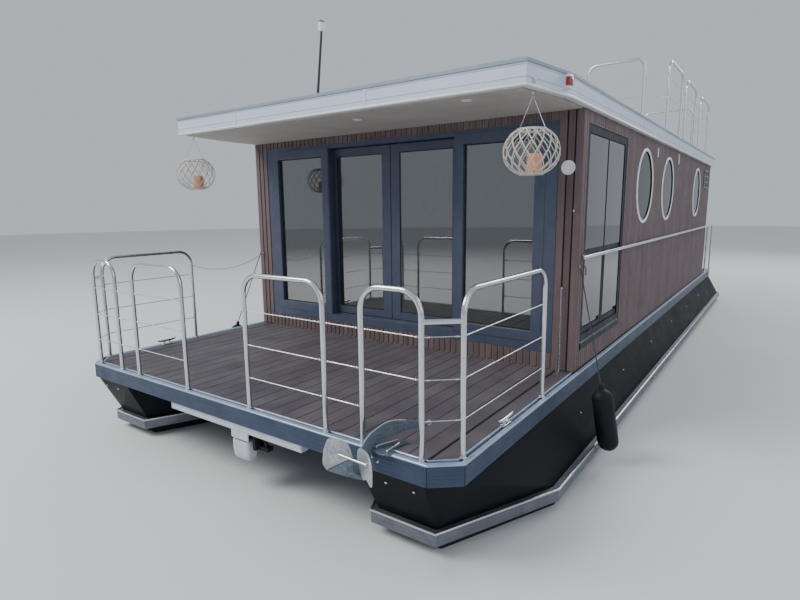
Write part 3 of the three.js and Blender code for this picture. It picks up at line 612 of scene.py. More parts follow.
@dataclass(frozen=True)
class Finish:
    """One surface finish: two colours that a mottle and a grain mix, and what lies over them."""

    name: str
    colour: Rgb
    shade: Rgb
    rough: tuple[float, float] = (0.35, 0.5)
    metallic: float = 0.0
    coat: float = 0.0
    scale: float = 6.0
    stretch: Point | None = None
    grain: float = 0.5
    grooves: tuple[Point, float, float] | None = None
    groove_depth: float = 0.001
    spangle: float = 0.0
    bump: float = 0.0002
    tone: float = 0.0
    grime: tuple[float, float] | None = None
    grime_colour: Rgb = (0.05, 0.045, 0.03)
    dust: float = 0.0
    dust_colour: Rgb = (0.35, 0.32, 0.28)
    inside: Rgb | None = None
    inside_half: float = 1.945
    transmission: float = 0.0
    ior: float = 1.5
    specular: float = 0.5
    crystal_share: float = 0.55
    tone_dark: float = 0.45
    groove_dark: float = 0.35
    groove_share: float = 0.55
    dust_rough: float = 0.3
    grime_share: float = 0.8
    grime_rough: float = 0.35

    def build(self) -> bpy.types.Material:
        """Builds the material: mask, colour layers, roughness and bump.

        Returns:
            The material.
        """
        made = bpy.data.materials.new(self.name)
        made.use_nodes = True
        graph = Graph(made.node_tree)
        shader = made.node_tree.nodes["Principled BSDF"]
        for socket, value in (
            ("Metallic", self.metallic), ("Coat Weight", self.coat), ("IOR", self.ior),
            ("Transmission Weight", self.transmission), ("Specular IOR Level", self.specular),
        ):
            shader.inputs[socket].default_value = value

        mask = height = graph.effect(Effect.MOTTLE, scale=self.scale)
        if self.stretch:
            height = graph.effect(Effect.GRAIN, stretch=self.stretch)
            mask = graph.blend(mask, height, self.grain)
        if self.spangle:
            crystal = graph.effect(Effect.SPANGLE, scale=self.spangle)
            mask = graph.blend(mask, crystal, self.crystal_share)
        colour = graph.mix(mask, self.colour, self.shade)
        if self.tone:
            tone = graph.node("ShaderNodeAttribute", attribute_name="tone").outputs["Fac"]
            colour = graph.mix(graph.math("MULTIPLY", tone, self.tone), colour,
                               tuple(self.tone_dark * c for c in self.shade))
        rough = graph.ranged(mask, 0.0, 1.0, *self.rough)
        depth = graph.math("MULTIPLY", height, self.bump)
        if self.grooves:
            axis, pitch, width = self.grooves
            line = graph.effect(Effect.GROOVES, axis=axis, pitch=pitch, width=width)
            colour = graph.mix(graph.math("MULTIPLY", line, self.groove_share), colour,
                               tuple(self.groove_dark * c for c in self.shade))
            depth = graph.math("SUBTRACT", depth, graph.math("MULTIPLY", line, self.groove_depth))
        if self.dust:
            share = graph.math("MULTIPLY", graph.effect(Effect.DUST), self.dust)
            colour = graph.mix(share, colour, self.dust_colour)
            rough = graph.math("ADD", rough, graph.math("MULTIPLY", share, self.dust_rough), True)
        if self.grime:
            level, reach = self.grime
            dirt = graph.effect(Effect.GRIME, level=level, reach=reach)
            colour = graph.mix(graph.math("MULTIPLY", dirt, self.grime_share), colour,
                               self.grime_colour)
            rough = graph.math("ADD", rough, graph.math("MULTIPLY", dirt, self.grime_rough), True)
        if self.inside:
            distance = graph.math("ABSOLUTE", graph.part(graph.place(), "X"))
            inner = graph.math("LESS_THAN", distance, self.inside_half)
            colour = graph.mix(inner, colour, self.inside)
        bump = graph.node("ShaderNodeBump", {"Height": depth, "Distance": 1.0, "Strength": 1.0})
        for socket, value in (("Base Color", colour), ("Roughness", rough),
                              ("Normal", bump.outputs["Normal"])):
            graph.tree.links.new(value, shader.inputs[socket])
        return made


@functools.cache
def material_of(finish: Finish) -> bpy.types.Material:
    """The material of a finish, built once."""
    return finish.build()


HULL_PAINT = Finish(
    "hull_paint", (0.005, 0.006, 0.009), (0.009, 0.0105, 0.0145), (0.45, 0.62), scale=2.5,
    stretch=(1.5, 1.5, 14.0), grain=0.35, bump=0.0004, grime=(0.47, 0.12),
    grime_colour=(0.03, 0.03, 0.022), dust=0.06, specular=0.1,
)
RUB_RAIL = Finish(
    "rub_rail", (0.23, 0.25, 0.29), (0.115, 0.125, 0.15), (0.38, 0.62), metallic=0.75, scale=9.0,
    stretch=(2.0, 2.0, 90.0), bump=0.0003, dust=0.25, dust_colour=(0.32, 0.3, 0.26),
)
# Bright metal: real on the bolt heads, and a painted highlight on the rub rails' top edge.
BRIGHT_METAL_AND_HIGHLIGHT = Finish(
    "bright_metal_and_painted_highlight", (0.68, 0.7, 0.73), (0.5, 0.52, 0.55), (0.22, 0.38), metallic=0.9, scale=12.0,
)
DECK_EDGE = Finish(
    "deck_edge", (0.055, 0.08, 0.14), (0.03, 0.045, 0.08), (0.36, 0.52), metallic=0.3, scale=5.0,
    stretch=(3.0, 3.0, 120.0), bump=0.00025, dust=0.1, dust_colour=(0.3, 0.32, 0.34), specular=0.35,
)
# Pale strips along the deck edge's top, lighter than the edge's own paint: painted highlight.
DECK_LIP_HIGHLIGHT = Finish(
    "deck_edge_lip_painted_highlight", (0.4, 0.5, 0.66), (0.28, 0.36, 0.49), (0.3, 0.45), metallic=0.4, scale=7.0,
    dust=0.25, dust_colour=(0.4, 0.42, 0.44),
)
DECK_BOARDS = Finish(
    "deck_boards", (0.128, 0.113, 0.134), (0.073, 0.064, 0.079), (0.5, 0.72), scale=3.5,
    stretch=(60.0, 2.2, 60.0), grain=0.55, grooves=((1.0, 0.0, 0.0), 0.0121, 0.2),
    groove_depth=0.0011, bump=0.0004, tone=0.35, dust=0.2, dust_colour=(0.28, 0.25, 0.26),
)
SLATS = Finish(
    "cladding_slats", (0.172, 0.117, 0.122), (0.1, 0.067, 0.071), (0.5, 0.72), scale=4.0,
    stretch=(70.0, 70.0, 2.4), grain=0.6, bump=0.0005, tone=0.4,
)
# The walls' outer faces near black, so that the gaps between the slats read dark: painted shade.
# The inner faces keep the cabin's own colour.
SLAT_GAP_SHADE = Finish(
    "cladding_gaps_painted_shade", (0.016, 0.012, 0.011), (0.01, 0.008, 0.008), (0.8, 0.95), bump=0.0001,
    inside=(0.3, 0.27, 0.23),
)
FASCIA = Finish(
    "roof_fascia", (0.62, 0.7, 0.84), (0.52, 0.6, 0.74), (0.28, 0.42), metallic=0.1, coat=0.15,
    scale=3.0, stretch=(2.0, 2.0, 60.0), grain=0.4, dust=0.25,
)
# A darker copy of the fascia's blue for the raised top lip: painted shade.
SHADED_ROOF_LIP = Finish(
    "roof_top_lip_painted_shade", (0.3, 0.38, 0.44), (0.22, 0.29, 0.34), (0.3, 0.45), metallic=0.3, coat=0.1,
    scale=5.0, dust=0.3,
)
ROOF_SHEET = Finish(
    "roof_sheet", (0.6, 0.66, 0.73), (0.47, 0.53, 0.6), (0.35, 0.55), metallic=0.1, coat=0.1,
    scale=1.6, bump=0.0008, dust=0.45,
)
SOFFIT = Finish(
    "soffit_panel", (0.48, 0.45, 0.42), (0.41, 0.38, 0.35), (0.6, 0.78), scale=2.0,
    grooves=((0.0, 1.0, 0.0), 0.3, 0.012), groove_depth=0.002, bump=0.0003,
)
FRAME_PAINT = Finish(
    "frame_paint", (0.066, 0.084, 0.132), (0.048, 0.062, 0.1), (0.32, 0.46), metallic=0.15,
    scale=8.0, bump=0.00012, dust=0.12,
)
# A darker copy of the frame paint for the side frames and their leaves: painted shade.
SHADED_SIDE_FRAME_PAINT = Finish(
    "side_frame_painted_shade", (0.013, 0.017, 0.03), (0.009, 0.012, 0.022), (0.34, 0.5), metallic=0.1,
    scale=8.0, bump=0.00012, dust=0.05, specular=0.12,
)
GLASS = Finish(
    "tinted_glass", (0.16, 0.2, 0.2), (0.12, 0.155, 0.16), (0.008, 0.03), scale=1.3, bump=0.00005,
    transmission=0.95, ior=2.5,
)
ROUND_GLASS = Finish(
    "round_window_glass", (0.02, 0.026, 0.034), (0.014, 0.019, 0.026), (0.01, 0.04), scale=1.3,
    bump=0.00005, transmission=0.3, ior=1.3, specular=0.25,
)
SIDE_GLASS = Finish(
    "side_window_glass", (0.085, 0.08, 0.095), (0.065, 0.06, 0.073), (0.01, 0.05), scale=1.3,
    bump=0.00005, transmission=0.3, ior=2.0,
)
RING_PAINT = Finish(
    "window_ring", (0.9, 0.91, 0.92), (0.8, 0.81, 0.83), (0.25, 0.4), coat=0.2, scale=7.0,
)
RUBBER = Finish(
    "gasket_rubber", (0.012, 0.013, 0.014), (0.02, 0.02, 0.022), (0.6, 0.8), scale=30.0,
    specular=0.2,
)
STAINLESS = Finish(
    "stainless", (0.7, 0.71, 0.73), (0.56, 0.575, 0.6), (0.14, 0.27), metallic=1.0, scale=14.0,
    stretch=(90.0, 90.0, 90.0), grain=0.3, bump=0.00006,
)
WIRE_ROPE = Finish(
    "wire_rope", (0.8, 0.81, 0.83), (0.55, 0.57, 0.59), (0.25, 0.45), metallic=1.0, scale=20.0,
    grooves=((0.62, 0.62, 0.48), 0.006, 0.35), groove_depth=0.0002,
)
# A darker, bluer copy of the galvanised steel for the anchor's shank, its lower facet and the chafe
# plate: painted shade.
SHADED_GALVANISED = Finish(
    "galvanised_painted_shade", (0.2, 0.25, 0.3), (0.11, 0.14, 0.18), (0.36, 0.6), metallic=0.6, scale=12.0,
    spangle=70.0, bump=0.0003,
)
GALVANISED = Finish(
    "galvanised_steel", (0.6, 0.63, 0.65), (0.33, 0.36, 0.38), (0.32, 0.58), metallic=0.8,
    scale=10.0, spangle=70.0, bump=0.0003,
)
POD_PAINT = Finish(
    "bow_motor_paint", (0.62, 0.66, 0.72), (0.48, 0.52, 0.57), (0.3, 0.5), coat=0.15, dust=0.25,
    grime=(0.7, 0.12), grime_colour=(0.3, 0.29, 0.25),
)
MOTOR_PAINT = Finish(
    "motor_paint", (0.012, 0.013, 0.016), (0.022, 0.023, 0.027), (0.16, 0.32), coat=0.6, scale=5.0,
    bump=0.0001, dust=0.2,
)
MOTOR_TRIM = Finish(
    "motor_trim", (0.2, 0.21, 0.23), (0.13, 0.14, 0.15), (0.3, 0.5), metallic=0.6, scale=9.0,
)
PROPELLER_METAL = Finish(
    "propeller_metal", (0.42, 0.43, 0.45), (0.26, 0.27, 0.29), (0.3, 0.5), metallic=0.85,
    scale=18.0, bump=0.0003,
)
FENDER_SKIN = Finish(
    "fender_skin", (0.005, 0.006, 0.008), (0.01, 0.011, 0.014), (0.42, 0.6), scale=9.0, bump=0.0004,
    dust=0.05, specular=0.2,
)
ROPE = Finish(
    "fender_rope", (0.03, 0.032, 0.036), (0.06, 0.062, 0.066), (0.75, 0.9), scale=30.0,
    grooves=((0.5, 0.5, 0.7), 0.008, 0.4),
)
CANE = Finish(
    "wicker", (0.68, 0.65, 0.6), (0.44, 0.41, 0.37), (0.6, 0.8), scale=22.0,
    stretch=(40.0, 40.0, 160.0), bump=0.0005,
)
CANDLE_GLASS = Finish(
    "candle_glass", (0.72, 0.36, 0.21), (0.56, 0.25, 0.14), (0.08, 0.2), coat=0.3, scale=12.0,
)
LAMP_HOUSING = Finish(
    "lamp_housing", (0.02, 0.021, 0.024), (0.03, 0.031, 0.034), (0.4, 0.55), scale=14.0,
)
LAMP_WHITE = Finish(
    "lamp_white", (0.8, 0.81, 0.82), (0.7, 0.71, 0.72), (0.25, 0.4), coat=0.2, scale=14.0,
)
RED_LENS = Finish(
    "red_lens", (0.36, 0.008, 0.035), (0.25, 0.006, 0.025), (0.08, 0.16), coat=0.5, scale=30.0,
)
GREEN_LENS = Finish(
    "green_lens", (0.012, 0.32, 0.1), (0.01, 0.22, 0.07), (0.08, 0.16), coat=0.5, scale=30.0,
)
FLOOR_PLANKS = Finish(
    "cabin_floor", (0.26, 0.19, 0.135), (0.17, 0.12, 0.085), (0.5, 0.7), scale=2.0,
    stretch=(30.0, 1.6, 30.0), grooves=((1.0, 0.0, 0.0), 0.16, 0.02), bump=0.0003,
)


# Pieces


def merged(mesh: bpy.types.Mesh, distance: float, flat: float | None = None) -> None:
    """Joins points that lie together, then turns the faces outwards or dissolves flat edges.

    Args:
        mesh: The mesh, which is changed.
        distance: Reach within which points are joined.
        flat: Angle in degrees below which edges dissolve, or None to turn the faces.
    """
    shaped = bmesh.new()
    shaped.from_mesh(mesh)
    bmesh.ops.remove_doubles(shaped, verts=shaped.verts, dist=distance)
    if flat is None:
        bmesh.ops.recalc_face_normals(shaped, faces=shaped.faces)
    else:
        bmesh.ops.dissolve_limit(
            shaped, angle_limit=math.radians(flat), verts=shaped.verts, edges=shaped.edges
        )
    shaped.to_mesh(mesh)
    shaped.free()


def meshed(name: str, shells: Shell | Sequence[Shell]) -> bpy.types.Mesh:
    """A mesh of one or more shells in the CAD's frame, with a tone for each point.

    Args:
        name: Its name.
        shells: The shells, in boat metres.

    Returns:
        The mesh, merged and with its faces turned outwards.
    """
    whole = Shell.joined([shells] if isinstance(shells, Shell) else list(shells))
    mesh = bpy.data.meshes.new(name)
    mesh.from_pydata(
        whole.points + SHIFT, [], [row for block in whole.blocks for row in block.tolist()]
    )
    tone = mesh.attributes.new("tone", "FLOAT", "POINT")
    tone.data.foreach_set("value", whole.tone.astype(np.float32))
    merged(mesh, 2e-6)
    return mesh


@dataclass
class Assembly:
    """A group of pieces that is built together."""

    def __post_init__(self) -> None:
        """Starts the list of pieces."""
        self.made: list[bpy.types.Object] = []

    def build(self) -> None:
        """Makes the pieces. Each assembly has its own."""
        raise NotImplementedError

    def report(self) -> None:
        """Logs each piece with its faces."""
        for piece in self.made:
            LOG.info("%s: %s, %d faces", type(self).__name__, piece.name, len(piece.data.polygons))

    def dress(self, finish: Finish, *nodes: str) -> None:
        """Gives CAD nodes that stay in view a finish.

        Args:
            finish: The finish.
            nodes: Names of the CAD nodes.
        """
        for name in nodes:
            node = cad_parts[name]
            if not node.material_slots:
                node.data.materials.append(None)
            for place in node.material_slots:
                place.material = material_of(finish)

    def add(self, name: str, shape: bpy.types.Mesh | Shell | Sequence[Shell], finish: Finish,
            slot: str, body: str = ROOT, replaces: Sequence[str] = (), bevel: float = 0.0,
            crease: float = 35.0) -> bpy.types.Object:
        """Makes one finished piece that rides on a body.

        Args:
            name: Name of the piece.
            shape: Its mesh, already in its place, or its shells in boat metres.
            finish: Its finish.
            slot: A material slot's name; not used.
            body: The CAD body that carries it.
            replaces: CAD nodes that it stands for.
            bevel: Width of the rounded edges, or 0.
            crease: Angle in degrees above which an edge stays sharp.

        Returns:
            The piece.
        """
        mesh = shape if isinstance(shape, bpy.types.Mesh) else meshed(name, shape)
        mesh.polygons.foreach_set("use_smooth", np.ones(len(mesh.polygons), bool))
        mesh.set_sharp_from_angle(angle=math.radians(crease))
        mesh.materials.clear()
        mesh.materials.append(material_of(finish))
        piece = bpy.data.objects.new(name, mesh)
        bpy.context.scene.collection.objects.link(piece)
        if bevel:
            rounding = piece.modifiers.new("rounded_edges", "BEVEL")
            rounding.width = bevel
            rounding.segments = 2
            rounding.limit_method = "ANGLE"
            rounding.angle_limit = math.radians(38)
            rounding.harden_normals = True
        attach(piece, body)
        if replaces:
            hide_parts(*replaces)
        self.made.append(piece)
        return piece

    def rounded(self, node: str, finish: Finish, slot: str, body: str = ROOT,
                bevel: float = 0.0015) -> bpy.types.Object:
        """A merged copy of a CAD node with rounded edges, which stands for it.

        Args:
            node: Name of the CAD node.
            finish: Its material.
            slot: Its slot.
            body: The CAD body that carries it.
            bevel: Width of the rounded edges, or 0.

        Returns:
            The piece.
        """
        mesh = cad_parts[node].data.copy()
        merged(mesh, 1e-5, 0.5)
        mesh.name = f"{node}_rounded"
        return self.add(mesh.name, mesh, finish, slot, body, [node], bevel, crease=30.0)


def bolt_heads(places: Sequence[Point], axis: Point, radius: float) -> list[Shell]:
    """Low domed bolt heads at several places, all along one axis.

    Args:
        places: Where each stands on its surface.
        axis: The way they point.
        radius: Radius of a head.

    Returns:
        The heads, in the order of their places.
    """
    dome = [(radius, 0.0), (radius, 0.35 * radius), (0.8 * radius, 0.62 * radius),
            (0.45 * radius, 0.78 * radius), (0, 0.82 * radius)]
    return [lathe([(0, 0), *dome], place, axis, 12) for place in places]


@dataclass
class Hull(Assembly):
    """Two pontoons, the rub rails round them and the bolts in their sides."""

    centre: float = 1.677
    nose_half: float = 0.26
    half: float = 0.708
    nose_y: float = 0.152
    shoulder_y: float = 1.14
    stern_y: float = 12.262
    rail_top: float = -0.533
    edge: float = 0.009

    def outline(self) -> np.ndarray:
        """The rub rail's outer edge, from the stern along the outside to the stern again.

        Returns:
            Its corners in plan.
        """
        c, n, h = self.centre, self.nose_half, self.half
        return np.array([
            [c + h, self.stern_y], [c + h, self.shoulder_y], [c + n, self.nose_y],
            [c - n, self.nose_y], [c - h, self.shoulder_y], [c - h, self.stern_y],
        ])

    def painted_highlight_bead(self) -> Shell:
        """Painted highlight on the rub rail's top edge: a bright bead, a small round section on the
        outline.
        """
        plan = self.outline()
        return tube(np.column_stack([plan, np.full(len(plan), self.rail_top)]), self.edge, 10)

    def build(self) -> None:
        """Dresses the pontoons and adds bolts and a bright bead on each rail's top edge as painted
        highlight.
        """
        bead = self.painted_highlight_bead()
        bolts = Shell.joined(bolt_heads(
            [(2.214, 2.171, -0.317), (2.211, 3.721, -0.312), (2.207, 5.254, -0.304),
             (2.207, 6.8, -0.304), (2.207, 8.35, -0.304), (2.207, 9.9, -0.304)],
            (1, 0, 0.45), 0.009,
        ) + bolt_heads([(1.637, 0.041, -0.219), (1.85, 0.041, -0.219)], (0, -1, -0.36), 0.009))
        for side in SIDES:
            self.rounded(f"pontoon_{side}", HULL_PAINT, "hull_paint", bevel=0.006)
            self.rounded(f"rub_rail_{side}", RUB_RAIL, "rub_rail", bevel=0.004)
            # The bright bead is painted highlight on the rail's top edge.
            self.add(f"rub_rail_highlight_{side}", bead.on(side), BRIGHT_METAL_AND_HIGHLIGHT, "rub_rail")
            self.add(f"hull_bolts_{side}", bolts.on(side), BRIGHT_METAL_AND_HIGHLIGHT, "rub_rail")


@dataclass
class Deck(Assembly):
    """The deck's edge profile, its boards, cleats and chafe plate."""

    half_beam: float = 2.145
    length: float = 12.3
    corner_x: float = 0.179
    corner_y: float = 0.149
    board: float = 0.145
    gap: float = 0.005
    narrowest: float = 0.02
    inner: float = 0.0785
    cabin_front: float = 2.301
    cabin_aft: float = 11.2
    cleat_x: float = 2.083
    cleat_y: tuple[float, float] = (0.854, 11.95)

    def outline(self) -> np.ndarray:
        """The deck's plan, anticlockwise seen from above.

        Returns:
            Its corners.
        """
        x, y, dx, dy = self.half_beam, self.length, self.corner_x, self.corner_y
        return np.array([
            [dx - x, 0], [x - dx, 0], [x, dy], [x, y - dy], [x - dx, y], [dx - x, y],
            [-x, y - dy], [-x, dy],
        ])

    def edge(self) -> Shell:
        """The edge profile: a face with fine lines, and the bed of the groove above it.

        Returns:
            The profile carried round the deck.
        """
        lines = [point for z in (-0.112, -0.084, -0.056, -0.028)
                 for point in ((0, z - 0.0014), (0.0006, z), (0, z + 0.0014))]
        return mitred(self.outline(), [
            (0.002, -0.14), (0, -0.137), *lines, (0, -0.0075), (0.034, -0.0075), (0.036, -0.012),
            (self.inner - 0.002, -0.012), (self.inner - 0.001, -0.03), (0.062, -0.03),
            (0.062, -0.14),
        ])

    def lips(self) -> list[Shell]:
        """Painted highlight on the edge's top: a broad pale strip, a groove's width, a narrow one.

        Returns:
            The outer strip, then the inner one.
        """
        return [mitred(self.outline(), [
            (start, foot), (start - 0.0004, 0.001), (start + 0.0025, 0.004), (end - 0.0025, 0.004),
            (end, 0.0015), (end, foot),
        ]) for start, end, foot in ((0.0, 0.036, -0.0072), (0.062, self.inner - 0.002, -0.0125))]

    def joints(self) -> tuple[list[Shell], list[Shell]]:
        """Dark joint lines in the edge's face at its corners, and rivets beside them.

        Returns:
            The lines and the rivets.
        """
        x, y, half = self.half_beam - self.corner_x, self.corner_y, 0.0018
        lines = [block((at - half, at + half), (by - half, by + half), (-0.1385, -0.0078))
                 for at, by in ((x, 0.0), (self.half_beam, y))]
        rivets = [head for z in (-0.118, -0.03) for head in (
            *bolt_heads([(x - 0.024, 0, z)], (0, -1, 0), 0.004),
            *bolt_heads([(self.half_beam, y + 0.024, z)], (1, 0, 0), 0.004),
        )]
        return ([*lines, *(shell.mirrored() for shell in lines)],
                [*rivets, *(shell.mirrored() for shell in rivets)])

    def boards(self, low: float, high: float) -> Shell:
        """Fore-and-aft boards between two y limits, clipped to the chamfered corners.

        A board's end at x lies where the inner line does: at the inner edge, and past the
        chamfer's start further in by the chamfer's slope times the distance.

        Args:
            low: Forward limit, or less than 0 for the bow edge.
            high: Aft limit, or more than the length for the stern edge.

        Returns:
            The boards.
        """
        plan = inset(self.outline(), self.inner + 0.002)
        reach = plan[2][0]
        turn = plan[1][0]
        slope = (plan[2][1] - plan[1][1]) / (reach - turn)
        count = math.ceil(2 * reach / self.board)
        edges = np.linspace(-reach, reach, count + 1)
        middle = edges[(edges > -turn) & (edges < turn)]
        edges = np.concatenate([[-reach, -turn], middle, [turn, reach]])
        across = np.stack([edges[:-1] + self.gap / 2, edges[1:] - self.gap / 2], 1)
        across = across[across[:, 1] - across[:, 0] > self.narrowest]
        past = np.maximum(np.abs(across) - turn, 0) * slope
        near = np.maximum(low, plan[0][1] + past)
        far = np.minimum(high, self.length - plan[0][1] - past)
        return strips(across, near, far, back=-0.0265, front=-0.001, chamfer=0.003, axes="xyz",
                      seed=5)

    def cleat(self, x: float, y: float) -> list[Shell]:
        """A horn cleat: a foot, two legs and a tapered horn with raised tips.

        Args:
            x: Its middle across the boat.
            y: Its middle along the boat.

        Returns:
            Its shells.
        """
        t = np.linspace(-1, 1, 25)
        horn = np.stack([np.full(25, x), y + 0.11 * t, 0.045 + 0.008 * t**4], -1)
        foot = loft([
            (-0.012, x, 0.021, y, 0.07, 5), (0.006, x, 0.021, y, 0.07, 5),
            (0.0095, x, 0.018, y, 0.066, 4), (0.0105, x, 0.012, y, 0.058, 4),
        ], 3, 28)
        legs = [tube(smooth([(x, y + way * 0.036, 0.006), (x, y + way * 0.03, 0.025),
                             (x, y + way * 0.022, 0.044)]), 0.0105, 12) for way in (-1, 1)]
        return [
            tube(horn, 0.0065 + 0.0068 * np.sqrt(np.clip(1 - t**2, 0, 1)), 14), foot, *legs,
            *bolt_heads([(x, y + way * 0.055, 0.0095) for way in (-1, 1)], (0, 0, 1), 0.006),
        ]

    def build(self) -> None:
        """Builds the deck."""
        plan = self.outline()
        self.add("deck_edge", self.edge(), DECK_EDGE, "deck_edge", replaces=["deck_frame"],
                 crease=25)
        # The pale top strips are painted highlight.
        self.add("deck_edge_highlight_lips", self.lips(), DECK_LIP_HIGHLIGHT, "deck_edge", crease=25)
        lines, rivets = self.joints()
        self.add("deck_edge_joints", lines, RUBBER, "deck_edge")
        self.add("deck_edge_rivets", rivets, LAMP_HOUSING, "deck_edge")
        self.add("deck_pan", prism(inset(plan, 0.0615), (-0.1395, -0.0295)), DECK_EDGE,
                 "deck_edge", bevel=0.001)
        self.rounded("deck_beams", DECK_EDGE, "deck_edge", bevel=0.003)
        self.add("bow_boards", self.boards(-1, self.cabin_front - 0.004), DECK_BOARDS,
                 "deck_boards", replaces=["bow_deck"])
        self.add("stern_boards", self.boards(self.cabin_aft + 0.004, 20), DECK_BOARDS,
                 "deck_boards", replaces=["stern_deck"])
        self.add("cleats", [
            shell for side in (1, -1) for y in self.cleat_y
            for shell in self.cleat(side * self.cleat_x, y)
        ], STAINLESS, "stainless")
        # The chafe plate takes the darker copy of the galvanised steel: painted shade.
        self.add("chafe_plate", prism(np.array([
            [1.525, -0.004], [1.65, -0.044], [1.712, -0.026], [1.708, 0.03], [1.672, 0.07],
            [1.703, 0.214], [1.66, 0.2], [1.6, 0.118], [1.525, 0.118],
        ]), (0.0042, 0.0118)), SHADED_GALVANISED, "stainless", bevel=0.0015)


@dataclass
class Cabin(Assembly):
    """Slat cladding over the walls, with the floor inside and the small fittings outside."""

    front: float = 2.301
    aft: float = 11.2
    half: float = 2.088
    proud: float = 0.012
    chamfer: float = 0.003
    gap: float = 0.013
    foot: float = 0.008
    side_top: float = 2.3235
    end_top: float = 2.3175
    window: tuple[float, float, float, float] = (2.42, 3.82, 0.186, 2.2135)
    front_opening: tuple[float, float, float] = (1.88, 0.1515, 2.2425)
    aft_opening: tuple[float, float, float] = (0.45, 0.058, 2.082)
    round_places: tuple[float, ...] = (4.79, 6.32, 9.32)
    round_z: float = 1.74
    round_cut: float = 0.436

    def columns(self, start: float, end: float, pitch: float) -> np.ndarray:
        """Left and right edges of slats that fill a width at about one pitch."""
        edges = np.linspace(start, end, max(1, round((end - start) / pitch)) + 1)
        return np.stack([edges[:-1] + self.gap / 2, edges[1:] - self.gap / 2], 1)

    def run(self, across: np.ndarray, low: float, high: float) -> tuple[np.ndarray, ...]:
        """Slats of one height over given columns: edges, low ends and high ends."""
        return across, np.full_like(across, low), np.full_like(across, high)

    def side_slats(self) -> tuple[np.ndarray, ...]:
        """The port wall's slats, cut at the tall window and round the round windows.

        Over a round window a slat is cut where it meets the circle: the window's height plus or
        minus the root of the radius squared less the distance squared, at each slat edge.

        Returns:
            Edges, low ends and high ends of all slats.
        """
        start, end, sill, head = self.window
        lower = [self.run(self.columns(self.front + 0.002, start, 0.06), self.foot, self.side_top)]
        window = self.columns(start, end, 0.0605)
        lower += [self.run(window, self.foot, sill), self.run(window, head, self.side_top)]
        rest = self.columns(end, self.aft - 0.002, 0.06)
        away = np.min([np.abs(rest - y) for y in self.round_places], axis=0)
        half = np.sqrt(np.maximum(self.round_cut**2 - away**2, 0))
        cut = half.max(1) > 0.0
        whole = self.run(rest[~cut], self.foot, self.side_top)
        below = (rest[cut], np.full_like(rest[cut], self.foot), self.round_z - half[cut])
        above = (rest[cut], self.round_z + half[cut], np.full_like(rest[cut], self.side_top))
        return tuple(np.concatenate(parts) for parts in zip(*lower, whole, below, above))

    def end_slats(self, opening: tuple[float, float, float], corner: np.ndarray, top: float
                  ) -> tuple[np.ndarray, ...]:
        """Slats of an end wall round one opening.

        Args:
            opening: Half width, low edge and high edge of the opening.
            corner: Slat edges at the port corner.
            top: Top of the slats.

        Returns:
            Edges, low ends and high ends of all slats.
        """
        half, low, high = opening
        middle = self.columns(-half, half, 0.067)
        both = np.concatenate([corner, -corner[:, ::-1]])
        parts = [self.run(both, self.foot, top), self.run(middle, self.foot, low),
                 self.run(middle, high, top)]
        return tuple(np.concatenate(part) for part in zip(*parts))

    def fittings(self) -> None:
        """The blank plaque, screw-eyes, wall lamps and louvre vent on the port side."""
        self.add("blank_plaque", lathe([
            (0, 0), (0.0605, 0), (0.062, 0.002), (0.062, 0.006), (0.0595, 0.0075),
            (0.0555, 0.0062), (0, 0.0062),
        ], (1.974, 2.289, 1.835), (0, -1, 0), 48), LAMP_WHITE, "window_ring")
        self.add("wall_eyes", [
            tube(oval((2.047, 2.257, 1.463), (0, 0.013, 0), (0, 0, 0.013), 20), 0.0028, 8, True),
            tube(oval((1.968, 2.264, 0.776), (0, 0.012, 0), (0, 0, 0.012), 20), 0.0028, 8, True),
            tube([(2.047, 2.29, 1.463), (2.047, 2.269, 1.463)], 0.003, 8),
            tube([(1.968, 2.29, 0.776), (1.968, 2.275, 0.776)], 0.003, 8),
        ], STAINLESS, "stainless")
        self.add("wall_lamps", [loft([
            (low, 2.107, 0.007, y, 0.008, 4), (low + 0.005, 2.109, 0.0092, y, 0.012, 4),
            (high - 0.005, 2.109, 0.0092, y, 0.012, 4), (high, 2.107, 0.007, y, 0.008, 4),
        ], 3, 24) for y, low, high in ((5.4, 2.127, 2.235), (7.04, 2.135, 2.275))],
            LAMP_WHITE, "window_ring")
        bars = [block((2.1, 2.112), (10.2, 10.96), (z, z + 0.022)) for z in (
            1.85, 1.962, 2.074, 2.186)]
        bars += [block((2.1, 2.1125), (y, y + 0.03), (1.85, 2.208)) for y in (10.2, 10.565, 10.93)]
        self.add("wall_vent_frame", bars, MOTOR_TRIM, "lamp_housing", bevel=0.001)
        blades = []
        for z in (1.872, 1.984, 2.096):
            for step in (0.0, 0.03, 0.06):
                blade = block((2.1005, 2.1075), (10.23, 10.93), (z + step, z + step + 0.03))
                lean = np.where(blade.points[:, 2:] > z + step + 0.01, -0.004, 0.0)
                blades.append(Shell(blade.points + lean * (1, 0, 0), blade.blocks))
        self.add("wall_vent_blades", blades, LAMP_HOUSING, "lamp_housing")

    def build(self) -> None:
        """Builds the cladding and fittings."""
        # The near-black walls behind the slats are painted shade in the gaps.
        self.dress(SLAT_GAP_SHADE, "wall_port", "wall_starboard", "wall_front", "wall_aft")
        self.dress(FLOOR_PLANKS, "cabin_floor")
        face = self.half + self.proud
        side = strips(*self.side_slats(), self.half, face, self.chamfer, "yzx", seed=11)
        self.add("slats_port", side, SLATS, "cladding")
        self.add("slats_starboard", side.mirrored(), SLATS, "cladding")
        front_corner = np.array([[1.886, 1.949], [1.962, 2.0195], [2.0325, 2.0995]])
        front = self.end_slats(self.front_opening, front_corner, self.end_top)
        self.add("slats_front", strips(*front, self.front, self.front - self.proud, self.chamfer,
                                       "xzy", seed=12), SLATS, "cladding")
        aft_corner = self.columns(0.452, 2.106, 0.0645)
        stern = self.end_slats(self.aft_opening, aft_corner, self.side_top)
        self.add("slats_aft", strips(*stern, self.aft, self.aft + self.proud, self.chamfer,
                                     "xzy", seed=13), SLATS, "cladding")
        self.fittings()


